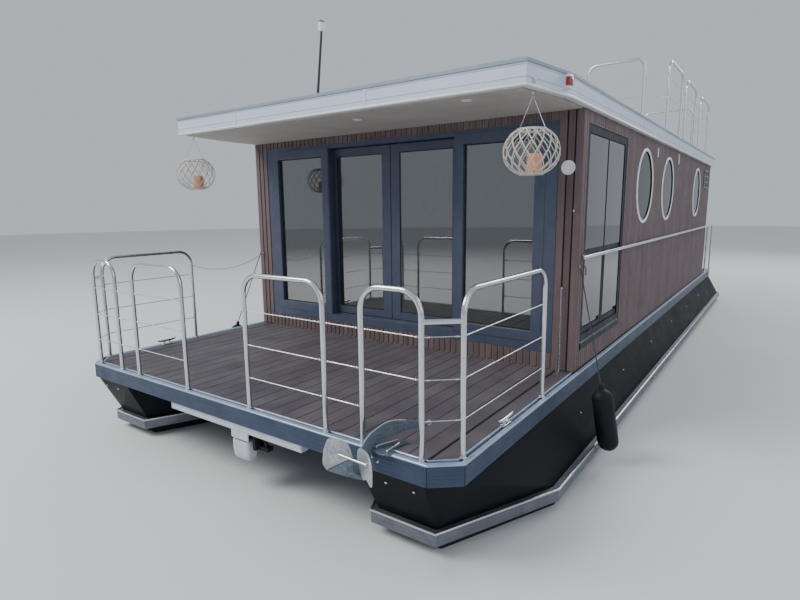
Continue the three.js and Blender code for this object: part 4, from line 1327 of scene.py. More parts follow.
@dataclass
class Roof(Assembly):
    """The fascia, the roof sheet with its ribs, the soffit, side lights and mast light."""

    front: float = 1.17
    aft: float = 11.5
    half: float = 2.138
    corner_x: float = 0.105
    corner_y: float = 0.641
    top: float = 2.501

    def outline(self) -> np.ndarray:
        """The roof's plan, anticlockwise seen from above.

        Returns:
            Its corners.
        """
        x, dx, dy = self.half, self.corner_x, self.corner_y
        return np.array([
            [dx - x, self.front], [x - dx, self.front], [x, self.front + dy], [x, self.aft],
            [-x, self.aft], [-x, self.front + dy],
        ])

    def fascia(self) -> Shell:
        """The edge profile: a face with two shallow grooves.

        Returns:
            The profile carried round the roof.
        """
        lines = [point for z in (2.384, 2.466)
                 for point in ((0.0, z - 0.005), (0.006, z - 0.002), (0.0, z + 0.001))]
        return mitred(self.outline(), [
            (0.004, 2.3445), (0, 2.346), *lines, (0.0, 2.4765), (0.05, 2.4765), (0.05, 2.4),
            (0.048, 2.3445),
        ])

    def lips(self) -> tuple[Shell, Shell]:
        """The edge's raised top lip, darker as painted shade, and its pale drip lip below, painted
        highlight.

        Returns:
            The top lip and the drip lip.
        """
        return mitred(self.outline(), [
            (0.0005, 2.4772), (-0.007, 2.4785), (-0.009, 2.483), (-0.009, 2.503),
            (-0.005, 2.5075), (0.03, 2.5075), (0.05, 2.502), (0.05, 2.4772),
        ]), mitred(self.outline(), [
            (0.048, 2.323), (0.006, 2.323), (-0.003, 2.3245), (-0.0055, 2.329), (-0.0055, 2.338),
            (-0.003, 2.3432), (0.002, 2.344), (0.048, 2.344),
        ])

    def joints(self) -> list[Shell]:
        """Cover strips over the fascia's joints.

        Returns:
            The strips at the bow, then on both sides.
        """
        x, y = self.half, self.front
        across = [block((at - 0.011, at + 0.011), (y - 0.0035, y + 0.001), (2.3465, 2.476))
                  for at in (-1.05, 0.62)]
        along = [block((x - 0.001, x + 0.0035), (at - 0.011, at + 0.011), (2.3465, 2.476))
                 for at in (4.35, 6.85, 9.35)]
        return across + along + [shell.mirrored() for shell in along]

    def ribs(self) -> list[Shell]:
        """Low ribs across the roof sheet: a trapezium carried from side to side.

        Returns:
            The ribs, from the bow aft.
        """
        section = np.array([[-0.022, -0.002], [-0.01, 0.006], [0.01, 0.006], [0.022, -0.002]])
        return [carried(np.array([[-2.07, y, self.top], [2.07, y, self.top]]), section,
                        upright=(0, 0, 1)) for y in np.arange(1.62, 11.3, 0.5)]

    def side_light(self) -> tuple[Shell, Shell]:
        """A side light on the port fascia.

        Returns:
            Its housing and its lens.
        """
        x, y = 2.133, 1.71
        housing = loft([
            (2.372, x, 0.03, y, 0.034, 5), (2.377, x, 0.034, y, 0.04, 5),
            (2.463, x, 0.034, y, 0.04, 5), (2.468, x, 0.03, y, 0.034, 5),
        ], 3, 28)
        x, y = 2.154, 1.7
        lens = loft([
            (2.389, x, 0.02, y, 0.036, 3), (2.395, x, 0.023, y, 0.04, 3),
            (2.445, x, 0.023, y, 0.04, 3), (2.451, x, 0.02, y, 0.036, 3),
        ], 3, 28)
        return housing, lens

    def mast_light(self) -> None:
        """The leaning mast with its foot, collar, lamp and cap."""
        foot, head = (-0.33, 1.6, self.top), (-0.24, 1.6, 3.19)
        lean = unit(np.subtract(head, foot))
        share = np.linspace(0, 1, 12)[:, None]
        mast = np.asarray(foot) + share * (np.subtract(head, foot))
        self.add("mast", [
            tube(mast, np.linspace(0.0135, 0.011, 12), 16),
            loft([(2.4985, -0.33, 0.06, 1.6, 0.06, 5), (2.508, -0.33, 0.06, 1.6, 0.06, 5),
                  (2.5125, -0.33, 0.055, 1.6, 0.055, 5)], 3, 32),
            lathe([(0, 0), (0.03, 0), (0.029, 0.012), (0.02, 0.05), (0.0145, 0.056)],
                  (-0.3295, 1.6, 2.508), lean, 24),
            *bolt_heads([(-0.33 + i * 0.042, 1.6 + j * 0.042, 2.511) for i in (-1, 1)
                         for j in (-1, 1)], (0, 0, 1), 0.007),
        ], LAMP_HOUSING, "lamp_housing", replaces=["mast_light"])
        self.add("mast_lamp", lathe([
            (0, -0.012), (0.024, -0.01), (0.0285, -0.004), (0.0285, 0.006), (0.031, 0.012),
            (0.0318, 0.05), (0.031, 0.07), (0, 0.07),
        ], head, (0, 0, 1), 28), LAMP_WHITE, "lamp_housing")
        self.add("mast_lamp_cap", lathe([
            (0, 0.0705), (0.0318, 0.0705), (0.0312, 0.076), (0.024, 0.084), (0.01, 0.088),
            (0, 0.0885),
        ], head, (0, 0, 1), 28), LAMP_HOUSING, "lamp_housing")

    def build(self) -> None:
        """Builds the roof."""
        self.add("roof_fascia", self.fascia(), FASCIA, "roof_sheet", replaces=["roof"], crease=22)
        # The darker top lip is painted shade, and the white drip lip is painted highlight.
        top_lip, drip_lip = self.lips()
        self.add("roof_top_lip_painted_shade", top_lip, SHADED_ROOF_LIP, "roof_sheet", crease=22)
        self.add("roof_drip_lip_painted_highlight", drip_lip, LAMP_WHITE, "roof_sheet", crease=22)
        self.add("roof_pan", prism(inset(self.outline(), 0.0495), (2.3805, self.top - 0.0005)),
                 ROOF_SHEET, "roof_sheet")
        self.add("roof_joints", self.joints(), FASCIA, "roof_sheet", bevel=0.001)
        self.add("roof_ribs", self.ribs(), ROOF_SHEET, "roof_sheet")
        self.dress(SOFFIT, "soffit")
        self.add("soffit_lamps", [shell for x, y in ((1.47, 1.36), (0.23, 1.54)) for shell in (
            lathe([(0.034, 0), (0.044, -0.001), (0.046, -0.004), (0.044, -0.006), (0.034, -0.004)],
                  (x, y, 2.318), segments=32, ring=True),
            lathe([(0, -0.002), (0.0345, -0.002), (0.0345, -0.0005), (0, -0.0005)],
                  (x, y, 2.318), segments=32),
        )], LAMP_WHITE, "window_ring")
        housing, lens = self.side_light()
        for side, finish, slot in (("port", RED_LENS, "red_lens"),
                                   ("starboard", GREEN_LENS, "green_lens")):
            self.add(f"side_light_{side}", housing.on(side), LAMP_WHITE, "lamp_housing")
            self.add(f"side_lens_{side}", lens.on(side), finish, slot)
        place, axis = (2.0487, 1.266, 2.366), (0.98, -0.17, 0)
        studs = Shell.joined([
            lathe([(0.009, 0), (0.019, 0), (0.021, 0.002), (0.0205, 0.005), (0.016, 0.0065),
                   (0.009, 0.005)], place, axis, 24, ring=True),
            lathe([(0, 0), (0.0092, 0), (0.0092, 0.003), (0, 0.0036)], place, axis, 16),
        ])
        self.add("roof_edge_eyes", [studs, studs.mirrored()], STAINLESS, "stainless")
        self.mast_light()


@dataclass
class Glazing(Assembly):
    """Frames, leaves and panes, with a dark gasket round each pane."""

    gasket: float = 0.009
    cover_spans: tuple[tuple[float, float], ...] = ((0.415, 1.056), (1.112, 2.134))

    def loop(self, low: Point, high: Point, axis: int,
             profile: Sequence[tuple[float, float]] | None = None) -> Shell:
        """A bar carried round an upright rectangle, as a gasket's round a pane.

        Args:
            low: Lowest corner of the rectangle or pane.
            high: Its highest corner.
            axis: Its thin direction, 0 for X and 1 for Y.
            profile: Inset and depth of the bar's section, or None for the gasket's.

        Returns:
            The closed loop.
        """
        wide = 1 - axis
        half = (high[axis] - low[axis]) / 2 + 0.002
        a0, a1, z0, z1 = low[wide], high[wide], low[2], high[2]
        plan = np.array([[a0, z0], [a1, z0], [a1, z1], [a0, z1]])
        g = self.gasket
        shell = mitred(plan, profile or [
            (-0.001, -half), (g * 0.7, -half), (g, -half + 0.003), (g, half - 0.003),
            (g * 0.7, half), (-0.001, half),
        ])
        middle = (low[axis] + high[axis]) / 2
        points = np.empty_like(shell.points)
        points[:, wide], points[:, 2] = shell.points[:, 0], shell.points[:, 1]
        points[:, axis] = shell.points[:, 2] + middle
        return Shell(points, shell.blocks)

    def pane(self, node: str, axis: int, body: str = ROOT) -> None:
        """Dresses a pane and adds its gasket.

        Args:
            node: The pane's CAD node.
            axis: Its thin direction, 0 for X and 1 for Y.
            body: The CAD body that carries it.
        """
        self.dress(GLASS, node)
        low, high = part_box(node)
        loop = self.loop(tuple(np.array(low) - SHIFT), tuple(np.array(high) - SHIFT), axis)
        self.add(f"{node}_gasket", loop, RUBBER, "frame_paint", body)

    def porthole(self, node: str, x: float, y: float, z: float) -> None:
        """A round window: a turned ring with its barrel, a gasket and the pane.

        Args:
            node: The CAD node that it stands for.
            x: Wall face, negative on the starboard side.
            y: Place along the boat.
            z: Height of its middle.
        """
        axis = (math.copysign(1, x), 0, 0)
        self.add(f"{node}_ring", lathe([
            (0.413, -0.15), (0.413, 0.009), (0.4145, 0.0155), (0.418, 0.0195), (0.424, 0.021),
            (0.438, 0.0205), (0.4465, 0.0175), (0.45, 0.013), (0.45, 0.0), (0.4176, 0.0),
            (0.4176, -0.15),
        ], (x, y, z), axis, 96, ring=True), RING_PAINT, "window_ring", replaces=[node], crease=30)
        self.add(f"{node}_gasket", lathe([
            (0.4128, -0.018), (0.4128, 0.011), (0.411, 0.0115), (0.408, 0.009),
            (0.4075, 0.004), (0.4075, -0.018), (0.409, -0.0225), (0.4128, -0.024),
        ], (x, y, z), axis, 96, ring=True), RUBBER, "window_ring")
        self.add(f"{node}_glass", lathe([
            (0, -0.014), (0.411, -0.014), (0.411, 0.001), (0, 0.001),
        ], (x, y, z), axis, 64), ROUND_GLASS, "tinted_glass")

    def covers(self, side: str) -> None:
        """The outer panes over the side leaves, one above and one below each crossbar.

        Args:
            side: The side of the boat.
        """
        for leaf, outer, meeting, lower in (("forward", 2.497, 3.1, 3.065),
                                            ("aft", 3.743, 3.14, 3.175)):
            shell = Shell.joined([
                block((2.0826, 2.0866), tuple(sorted((outer, edge))), span)
                for span, edge in zip(self.cover_spans, (lower, meeting))
            ])
            self.add(f"side_cover_{leaf}_{side}", shell.on(side), SIDE_GLASS, "tinted_glass",
                     f"casement_{leaf}_{side}", bevel=0.0008)

    def build(self) -> None:
        """Builds all the glazing."""
        self.rounded("front_frame", FRAME_PAINT, "frame_paint")
        band = [(0.0, 0.001), (0.0, -0.004), (0.0015, -0.0055), (0.096, -0.0055), (0.099, -0.003),
                (0.1, 0.001)]
        self.add("front_light_sashes", [
            self.loop((x, 2.296, 0.239), (x + 0.935, 2.296, 2.206), 1, band)
            for x in (0.834, -1.791)
        ], FRAME_PAINT, "frame_paint")
        for side in SIDES:
            self.pane(f"front_glass_{side}", 1)
            slide = f"slide_door_{side}"
            self.rounded(f"slide_leaf_{side}", FRAME_PAINT, "frame_paint", slide)
            self.pane(f"slide_glass_{side}", 1, slide)
            # The side frames and their leaves take the darker frame paint: painted shade.
            self.rounded(f"side_frame_{side}", SHADED_SIDE_FRAME_PAINT, "frame_paint")
            self.covers(side)
            for leaf in ("forward", "aft"):
                body = f"casement_{leaf}_{side}"
                self.rounded(f"side_leaf_{leaf}_{side}", SHADED_SIDE_FRAME_PAINT, "frame_paint", body)
                self.pane(f"side_glass_{leaf}_{side}", 0, body)
            sign = 1 if side == "port" else -1
            for number, y in enumerate(Cabin.round_places, 1):
                self.porthole(f"porthole_{side}_{number}", sign * Cabin.half, y, Cabin.round_z)
        self.rounded("stern_door_frame", FRAME_PAINT, "frame_paint")
        self.rounded("stern_door_leaf", FRAME_PAINT, "frame_paint", "stern_door")
        self.pane("stern_door_glass", 1, "stern_door")


@dataclass
class Rails(Assembly):
    """Tubes, wires and feet of all the rails, and the ladder to the roof."""

    radius: float = 0.018
    wire: float = 0.0038
    bend: float = 0.15
    top: float = 1.03
    line_y: float = 0.05
    levels: tuple[float, ...] = (0.245, 0.5, 0.76)
    foot: float = 0.0038
    side_x: float = 2.09
    side_y: float = 0.215
    link_z: float = 0.85
    hand_x: float = 2.126
    hand_z: float = 1.05
    post_y: float = 11.33
    corner_y: float = 12.18
    stern_y: float = 12.25
    roof_x: float = 2.095
    roof_foot: float = 2.5005
    roof_levels: tuple[float, ...] = (2.96, 3.2)
    roof_top: float = 3.43
    roof_bow: float = 5.69
    roof_aft: float = 10.33
    ladder_x: tuple[float, float] = (-1.52, -1.12)
    ladder_foot: tuple[float, float] = (11.64, -0.001)
    ladder_head: tuple[float, float] = (11.22, 3.3)
    stay_z: float = 1.3
    wall_y: float = 11.207
    rungs: int = 8

    def post_foot(self, x: float, y: float, z: float) -> Shell:
        """A small round flange at a post's foot.

        Args:
            x: The post's place across the boat.
            y: Its place along the boat.
            z: Height of what it stands on.

        Returns:
            The flange.
        """
        return lathe([
            (0, 0), (0.0238, 0), (0.0245, 0.002), (0.0235, 0.004), (0.0205, 0.0055),
            (0.0195, 0.013), (0.017, 0.0135),
        ], (x, y, z), segments=24)

    def hoop(self, a: Point, b: Point, top: float, bend: float | None = None) -> list[Shell]:
        """An upright hoop on two feet, each with its flange.

        Args:
            a: Where the first foot stands.
            b: Where the second foot stands.
            top: Height of its top.
            bend: Radius of its corners, or None for the usual one.

        Returns:
            The hoop's tube and the two flanges.
        """
        corners = [a, (a[0], a[1], top), (b[0], b[1], top), b]
        return [
            tube(bent(corners, bend or self.bend, 10), self.radius, 16),
            self.post_foot(*a), self.post_foot(*b),
        ]

    def knob(self, at: Point, run: Sequence[float]) -> Shell:
        """A wire's end fitting beside a post: a stud from the post and a turned knob.

        Args:
            at: Where the wire meets the post.
            run: The wire's direction from there.

        Returns:
            The fitting.
        """
        way = unit(np.asarray(run, float))
        steps = np.array([0.012, 0.031, 0.0325, 0.035, 0.041, 0.0435, 0.0455, 0.052, 0.053])
        reach = [0.0045, 0.0045, 0.0062, 0.007, 0.007, 0.0062, 0.0048, 0.0046, 0.0036]
        return tube(np.asarray(at, float) + steps[:, None] * way, reach, 10)

    def wires(self, posts: Sequence[tuple[float, float]], levels: Sequence[float]
              ) -> tuple[list[Shell], list[Shell]]:
        """Wires along a row of posts, with a fitting beside each post.

        Args:
            posts: Plan points of the posts, in order.
            levels: Heights of the wires.

        Returns:
            The wires and the fittings.
        """
        plan = np.asarray(posts, float)
        wires, knobs = [], []
        for z in levels:
            line = np.column_stack([plan, np.full(len(plan), z)])
            for a, b in zip(line[:-1], line[1:]):
                wires.append(tube([a, b], self.wire, 8))
                knobs += [self.knob(a, b - a), self.knob(b, a - b)]
        return wires, knobs

    def finished(self, node: str, tubes: Sequence[Shell],
                 runs: Sequence[tuple[list[Shell], list[Shell]]], mirror: bool = False) -> None:
        """Adds a rail's tubes, wires and fittings.

        Args:
            node: The CAD node that the tubes stand for.
            tubes: Its tubes and feet.
            runs: Wires and fittings of each row of posts.
            mirror: Whether it is drawn for port and stands on the starboard side.
        """
        wires, knobs = ([shell for run in runs for shell in run[i]] for i in (0, 1))
        for part, shells, finish in (("tubes", tubes, STAINLESS), ("wires", wires, WIRE_ROPE),
                                     ("fittings", knobs, STAINLESS)):
            whole = Shell.joined(shells)
            self.add(f"{node}_{part}", whole.mirrored() if mirror else whole, finish,
                     "stainless", replaces=[node] if part == "tubes" else [])

    def bow(self) -> None:
        """The two bow rails, each with two hoops, a link, a side hoop and wires."""
        y, z = self.line_y, self.foot
        for side, sign, hoops, low_end, side_end in (
            ("port", 1, ((0.33, 1.122), (1.448, 1.902)), 1.448, 1.515),
            ("starboard", -1, ((0.468, 1.225), (1.53, 1.93)), 1.93, 1.24),
        ):
            tubes = [shell for a, b in hoops
                     for shell in self.hoop((sign * a, y, z), (sign * b, y, z), self.top)]
            x, start, link = sign * self.side_x, self.side_y, self.link_z
            tubes += self.hoop((x, start, z), (x, side_end, z), self.top)
            outer = sign * hoops[1][1]
            tubes.append(tube([(outer, y, link), (x, start, link)], self.radius, 14))
            front = [(sign * at, y) for pair in hoops for at in pair]
            short = [point for point in front if abs(point[0]) <= low_end + 0.001]
            self.finished(f"bow_rail_{side}", tubes, [
                self.wires(short, self.levels[:1]), self.wires(front, self.levels[1:]),
                self.wires([(outer, y), (x, start), (x, side_end)], self.levels),
            ])

    def gates(self) -> None:
        """The gate chains: one hooked across the starboard gate, one hanging to port."""
        slack = sagging((-2.09, 1.257, 0.86), (-2.02, 2.262, 0.937), 0.11)
        drop = smooth([
            (1.968, 2.252, 0.764), (1.969, 2.255, 0.5), (1.971, 2.257, 0.2),
            (1.973, 2.252, 0.03), (1.978, 2.22, 0.0045), (1.985, 2.17, 0.0035),
            (2.003, 2.135, 0.0035),
        ], 8)
        ring = oval((-2.02, 2.267, 0.945), (0, 0.012, 0), (0, 0, 0.012), 18)
        self.add("gate_chains", [chain(slack), chain(drop)], STAINLESS, "stainless")
        self.add("gate_eyes", [
            tube(ring, 0.0028, 8, closed=True),
            tube([(-2.02, 2.29, 0.945), (-2.02, 2.278, 0.945)], 0.0035, 8),
            lathe([(0.0172, -0.008), (0.0195, -0.006), (0.0195, 0.006), (0.0172, 0.008)],
                  (-2.09, 1.24, 0.86), segments=20, ring=True),
        ], STAINLESS, "stainless")

    def sides(self) -> None:
        """Handrails along the cabin with their stern posts, and the stern hoops."""
        x, z, foot, post, corner = self.hand_x, self.hand_z, self.foot, self.post_y, self.corner_y
        tubes = [
            tube(bent([(x, 2.355, z), (x, corner, z), (x, corner, foot)], 0.09, 10),
                 self.radius, 16),
            tube([(x, post, foot), (x, post, z)], self.radius, 16),
            self.post_foot(x, corner, foot), self.post_foot(x, post, foot),
            lathe([(0.018, 0), (0.0175, -0.003), (0.012, -0.006), (0, -0.0068)], (x, 2.355, z),
                  (0, 1, 0), 20),
        ]
        for wall, y in ((2.0933, 2.448), *((2.1003, y) for y in (3.88, 5.55, 7.7, 9.9, 11.1))):
            tubes += [
                tube([(wall, y, z), (x, y, z)], 0.0085, 12),
                lathe([(0, 0), (0.021, 0), (0.021, 0.0025), (0.014, 0.0045), (0, 0.0045)],
                      (wall, y, z), (1, 0, 0), 20),
            ]
        along = [self.wires([(x, post), (x, corner)], self.levels)]
        inner, outer, stern = 1.15, 1.93, self.stern_y
        hoops = self.hoop((outer, stern, foot), (inner, stern, foot), self.top)
        across = [self.wires([(inner, stern), (outer, stern), (x, corner)], self.levels)]
        for side in SIDES:
            self.finished(f"side_rail_{side}", tubes, along, side == "starboard")
            self.finished(f"stern_rail_{side}", hoops, across, side == "starboard")

    def roof(self) -> None:
        """The roof terrace's hoops and wires."""
        x, z, top, bow, aft = (
            self.roof_x, self.roof_foot, self.roof_top, self.roof_bow, self.roof_aft
        )
        bend, inner, outer = 0.12, 1.08, 1.82
        pairs = ((5.9, 6.97), (7.4, 8.41), (9.06, 10.18))
        hoops = []
        for a, b in pairs:
            for side in (1, -1):
                hoops += self.hoop((side * x, a, z), (side * x, b, z), top, bend)
        for side in (1, -1):
            hoops += self.hoop((side * inner, bow, z), (side * outer, bow, z), top + 0.02, bend)
        for y in (bow, aft):
            hoops += self.hoop((-0.4, y, z), (0.4, y, z), top, bend)
        hoops += self.hoop((0.88, aft, z), (1.8, aft, z), top, bend)
        along = [y for pair in pairs for y in pair]
        front = [(-x, along[0]), *((at, bow) for at in (-outer, -inner, -0.4, 0.4, inner, outer)),
                 (x, along[0])]
        back = [*((at, aft) for at in (-0.4, 0.4, 0.88, 1.8)), (x, along[-1])]
        self.finished("roof_rail", hoops, [self.wires(posts, self.roof_levels) for posts in (
            front, back, [(x, y) for y in along], [(-x, y) for y in along])])

    def ladder(self) -> None:
        """The ladder: two bent rails, stays to the wall and ribbed rungs."""
        (y, foot), (head_y, head), stay = self.ladder_foot, self.ladder_head, self.stay_z
        shells = []
        for x in self.ladder_x:
            path = bent([(x, y, foot), (x, y, head), (x, head_y, head),
                         (x, head_y, self.roof_foot)], self.bend, 10)
            shells += [
                tube(path, self.radius, 16),
                self.post_foot(x, y, foot), self.post_foot(x, head_y, self.roof_foot),
                tube([(x, self.wall_y, stay), (x, y, stay)], 0.0115, 12),
                lathe([(0, 0), (0.024, 0), (0.024, 0.003), (0.015, 0.005), (0, 0.005)],
                      (x, self.wall_y, stay), (0, 1, 0), 20),
            ]
        t = np.linspace(0, 1, 41)
        ripple = 0.0145 + 0.0008 * np.cos(40 * np.pi * t)
        for z in 0.26 + 0.29 * np.arange(self.rungs):
            run = np.stack([self.ladder_x[0] + 0.4 * t, y + 0 * t, z + 0 * t], -1)
            shells.append(tube(run, ripple, 14))
        self.add("roof_ladder_tubes", shells, STAINLESS, "stainless", replaces=["roof_ladder"])

    def build(self) -> None:
        """Builds all the rails."""
        self.bow()
        self.gates()
        self.sides()
        self.roof()
        self.ladder()


@dataclass
class Anchor(Assembly):
    """The stowed anchor: two folded palms, a tie rod and a curved plate shank."""

    thickness: float = 0.016

    def shank(self) -> Shell:
        """The shank: an upright rectangle carried over the bow edge, its height changing.

        Returns:
            The closed shell.
        """
        stations = smooth([
            (1.535, -0.112, -0.06, -0.008), (1.553, -0.07, -0.062, 0.075),
            (1.56, -0.024, -0.05, 0.106), (1.563, -0.008, 0.0125, 0.116),
            (1.6, 0.11, 0.045, 0.156), (1.66, 0.225, 0.073, 0.145), (1.745, 0.345, 0.086, 0.114),
        ], 6)
        stations[:, 2] = np.where(stations[:, 1] > -0.01, np.maximum(stations[:, 2], 0.0122),
                                  np.minimum(stations[:, 2], -0.045))
        run = unit(np.gradient(stations[:, :2], axis=0))
        side = np.stack([run[:, 1], -run[:, 0]], -1) * self.thickness / 2
        low, top = stations[:, 2:3], stations[:, 3:4]
        corners = [
            np.concatenate([stations[:, :2] + way * side, level], 1)
            for way, level in ((-1, low), (1, low), (1, top), (-1, top))
        ]
        points = np.stack(corners, 1).reshape(-1, 3)
        return Shell(points, [net(len(low), 4), caps(4, len(points) - 4)])

    def build(self) -> None:
        """Builds the anchor."""
        inner, outer = (1.545, -0.165, 0.006), (1.452, -0.3, -0.044)
        palms = [
            curved_plate(smooth([
                outer, (1.44, -0.318, 0.0), (1.431, -0.305, 0.048), (1.438, -0.295, 0.105),
                (1.462, -0.272, 0.15), (1.515, -0.187, 0.104), inner,
            ], 5), 0.007, 0.012),
            curved_plate(smooth([
                inner, (1.56, -0.12, -0.073), (1.603, -0.14, -0.128), (1.52, -0.185, -0.116), outer,
            ], 5), 0.007, 0.01),
            curved_plate(smooth([
                (1.563, -0.12, 0.056), (1.682, -0.19, 0.081), (1.756, -0.25, 0.048),
                (1.768, -0.26, -0.032), (1.753, -0.25, -0.085), (1.672, -0.19, -0.089),
                (1.603, -0.14, -0.128), (1.56, -0.12, -0.073), (1.548, -0.12, 0.006),
            ], 5, closed=True), 0.007, -0.012),
        ]
        shank = self.shank()
        crest = (shank.points[2::4] + shank.points[3::4]) / 2
        shackle = oval((1.756, 0.362, 0.1), (0.006, 0.018, 0), (0, 0, 0.017), 20)
        self.add("anchor_palms", palms[::2], GALVANISED, "galvanised_steel",
                 replaces=["anchor"], crease=50)
        # The lower facet and the shank take the darker copy of the galvanised steel: painted shade.
        self.add("anchor_fold_painted_shade", palms[1], SHADED_GALVANISED, "galvanised_steel", crease=50)
        self.add("anchor_shank", shank, SHADED_GALVANISED, "galvanised_steel", bevel=0.003)
        self.add("anchor_rods", [
            tube([(1.482, -0.243, 0.048), (1.702, -0.236, 0.034)], 0.007, 14),
            tube(crest[:-6], 0.0045, 8), tube(shackle, 0.0045, 8, closed=True),
            tube(bent([(1.594, 0.004, 0.011), (1.594, 0.004, 0.031), (1.648, 0.162, 0.031),
                       (1.648, 0.162, 0.011)], 0.008, 5), 0.0042, 8),
            tube(bent([(1.68, 0.0, 0.011), (1.68, 0.0, 0.024), (1.676, 0.14, 0.024),
                       (1.676, 0.14, 0.011)], 0.006, 5), 0.0042, 8),
            *bolt_heads([(1.482, -0.243, 0.048)], (-1, -0.6, 0), 0.014),
            *bolt_heads([(1.702, -0.236, 0.034)], (1, 0, 0), 0.012),
            *bolt_heads([(1.561, -0.0005, -0.048), (1.606, -0.0005, -0.069)], (0, -1, 0), 0.008),
        ], STAINLESS, "galvanised_steel")


@dataclass
class BowMotor(Assembly):
    """The bow motor under the deck edge: a beam, a blank pod, its hanger and tilt gear."""

    beam_top: float = -0.1403

    def build(self) -> None:
        """Builds the bow motor."""
        top = self.beam_top
        self.add("bow_motor_beam", [
            block((-0.7, 0.9), (0.024, 0.096), (top - 0.07, top)),
            block((-0.69, 0.89), (0.02, 0.025), (top - 0.058, top - 0.012)),
            block((0.112, 0.312), (0.026, 0.038), (top - 0.135, top - 0.065)),
        ], POD_PAINT, "bow_motor_paint", replaces=["bow_motor"], bevel=0.003)
        self.add("bow_motor_pod", loft([
            (-0.455, 0.198, 0.072, 0.092, 0.034, 5), (-0.45, 0.197, 0.084, 0.092, 0.044, 5),
            (-0.433, 0.196, 0.091, 0.092, 0.05, 6), (-0.385, 0.194, 0.096, 0.092, 0.054, 6),
            (-0.35, 0.192, 0.097, 0.092, 0.054, 6), (-0.31, 0.191, 0.096, 0.092, 0.052, 6),
            (-0.296, 0.19, 0.091, 0.092, 0.046, 5), (-0.293, 0.19, 0.08, 0.092, 0.036, 5),
        ], 5, 40), POD_PAINT, "bow_motor_paint")
        self.add("bow_motor_hanger", [
            block((0.14, 0.25), (0.06, 0.13), (-0.302, top - 0.06)),
            block((0.286, 0.46), (0.09, 0.15), (-0.35, -0.318)),
            block((0.325, 0.355), (0.06, 0.15), (-0.35, top - 0.06)),
            tube([(0.43, 0.12, -0.345), (0.43, 0.1, -0.28), (0.43, 0.08, top - 0.06)], 0.013, 16),
            tube([(0.27, 0.11, -0.338), (0.44, 0.12, -0.338)], 0.02, 16),
        ], RUBBER, "motor_paint", bevel=0.002)
        self.add("bow_motor_bolts", bolt_heads(
            [(x, 0.024, top - 0.035) for x in (-0.64, -0.3, 0.04, 0.44, 0.84)], (0, -1, 0), 0.008,
        ), STAINLESS, "stainless")


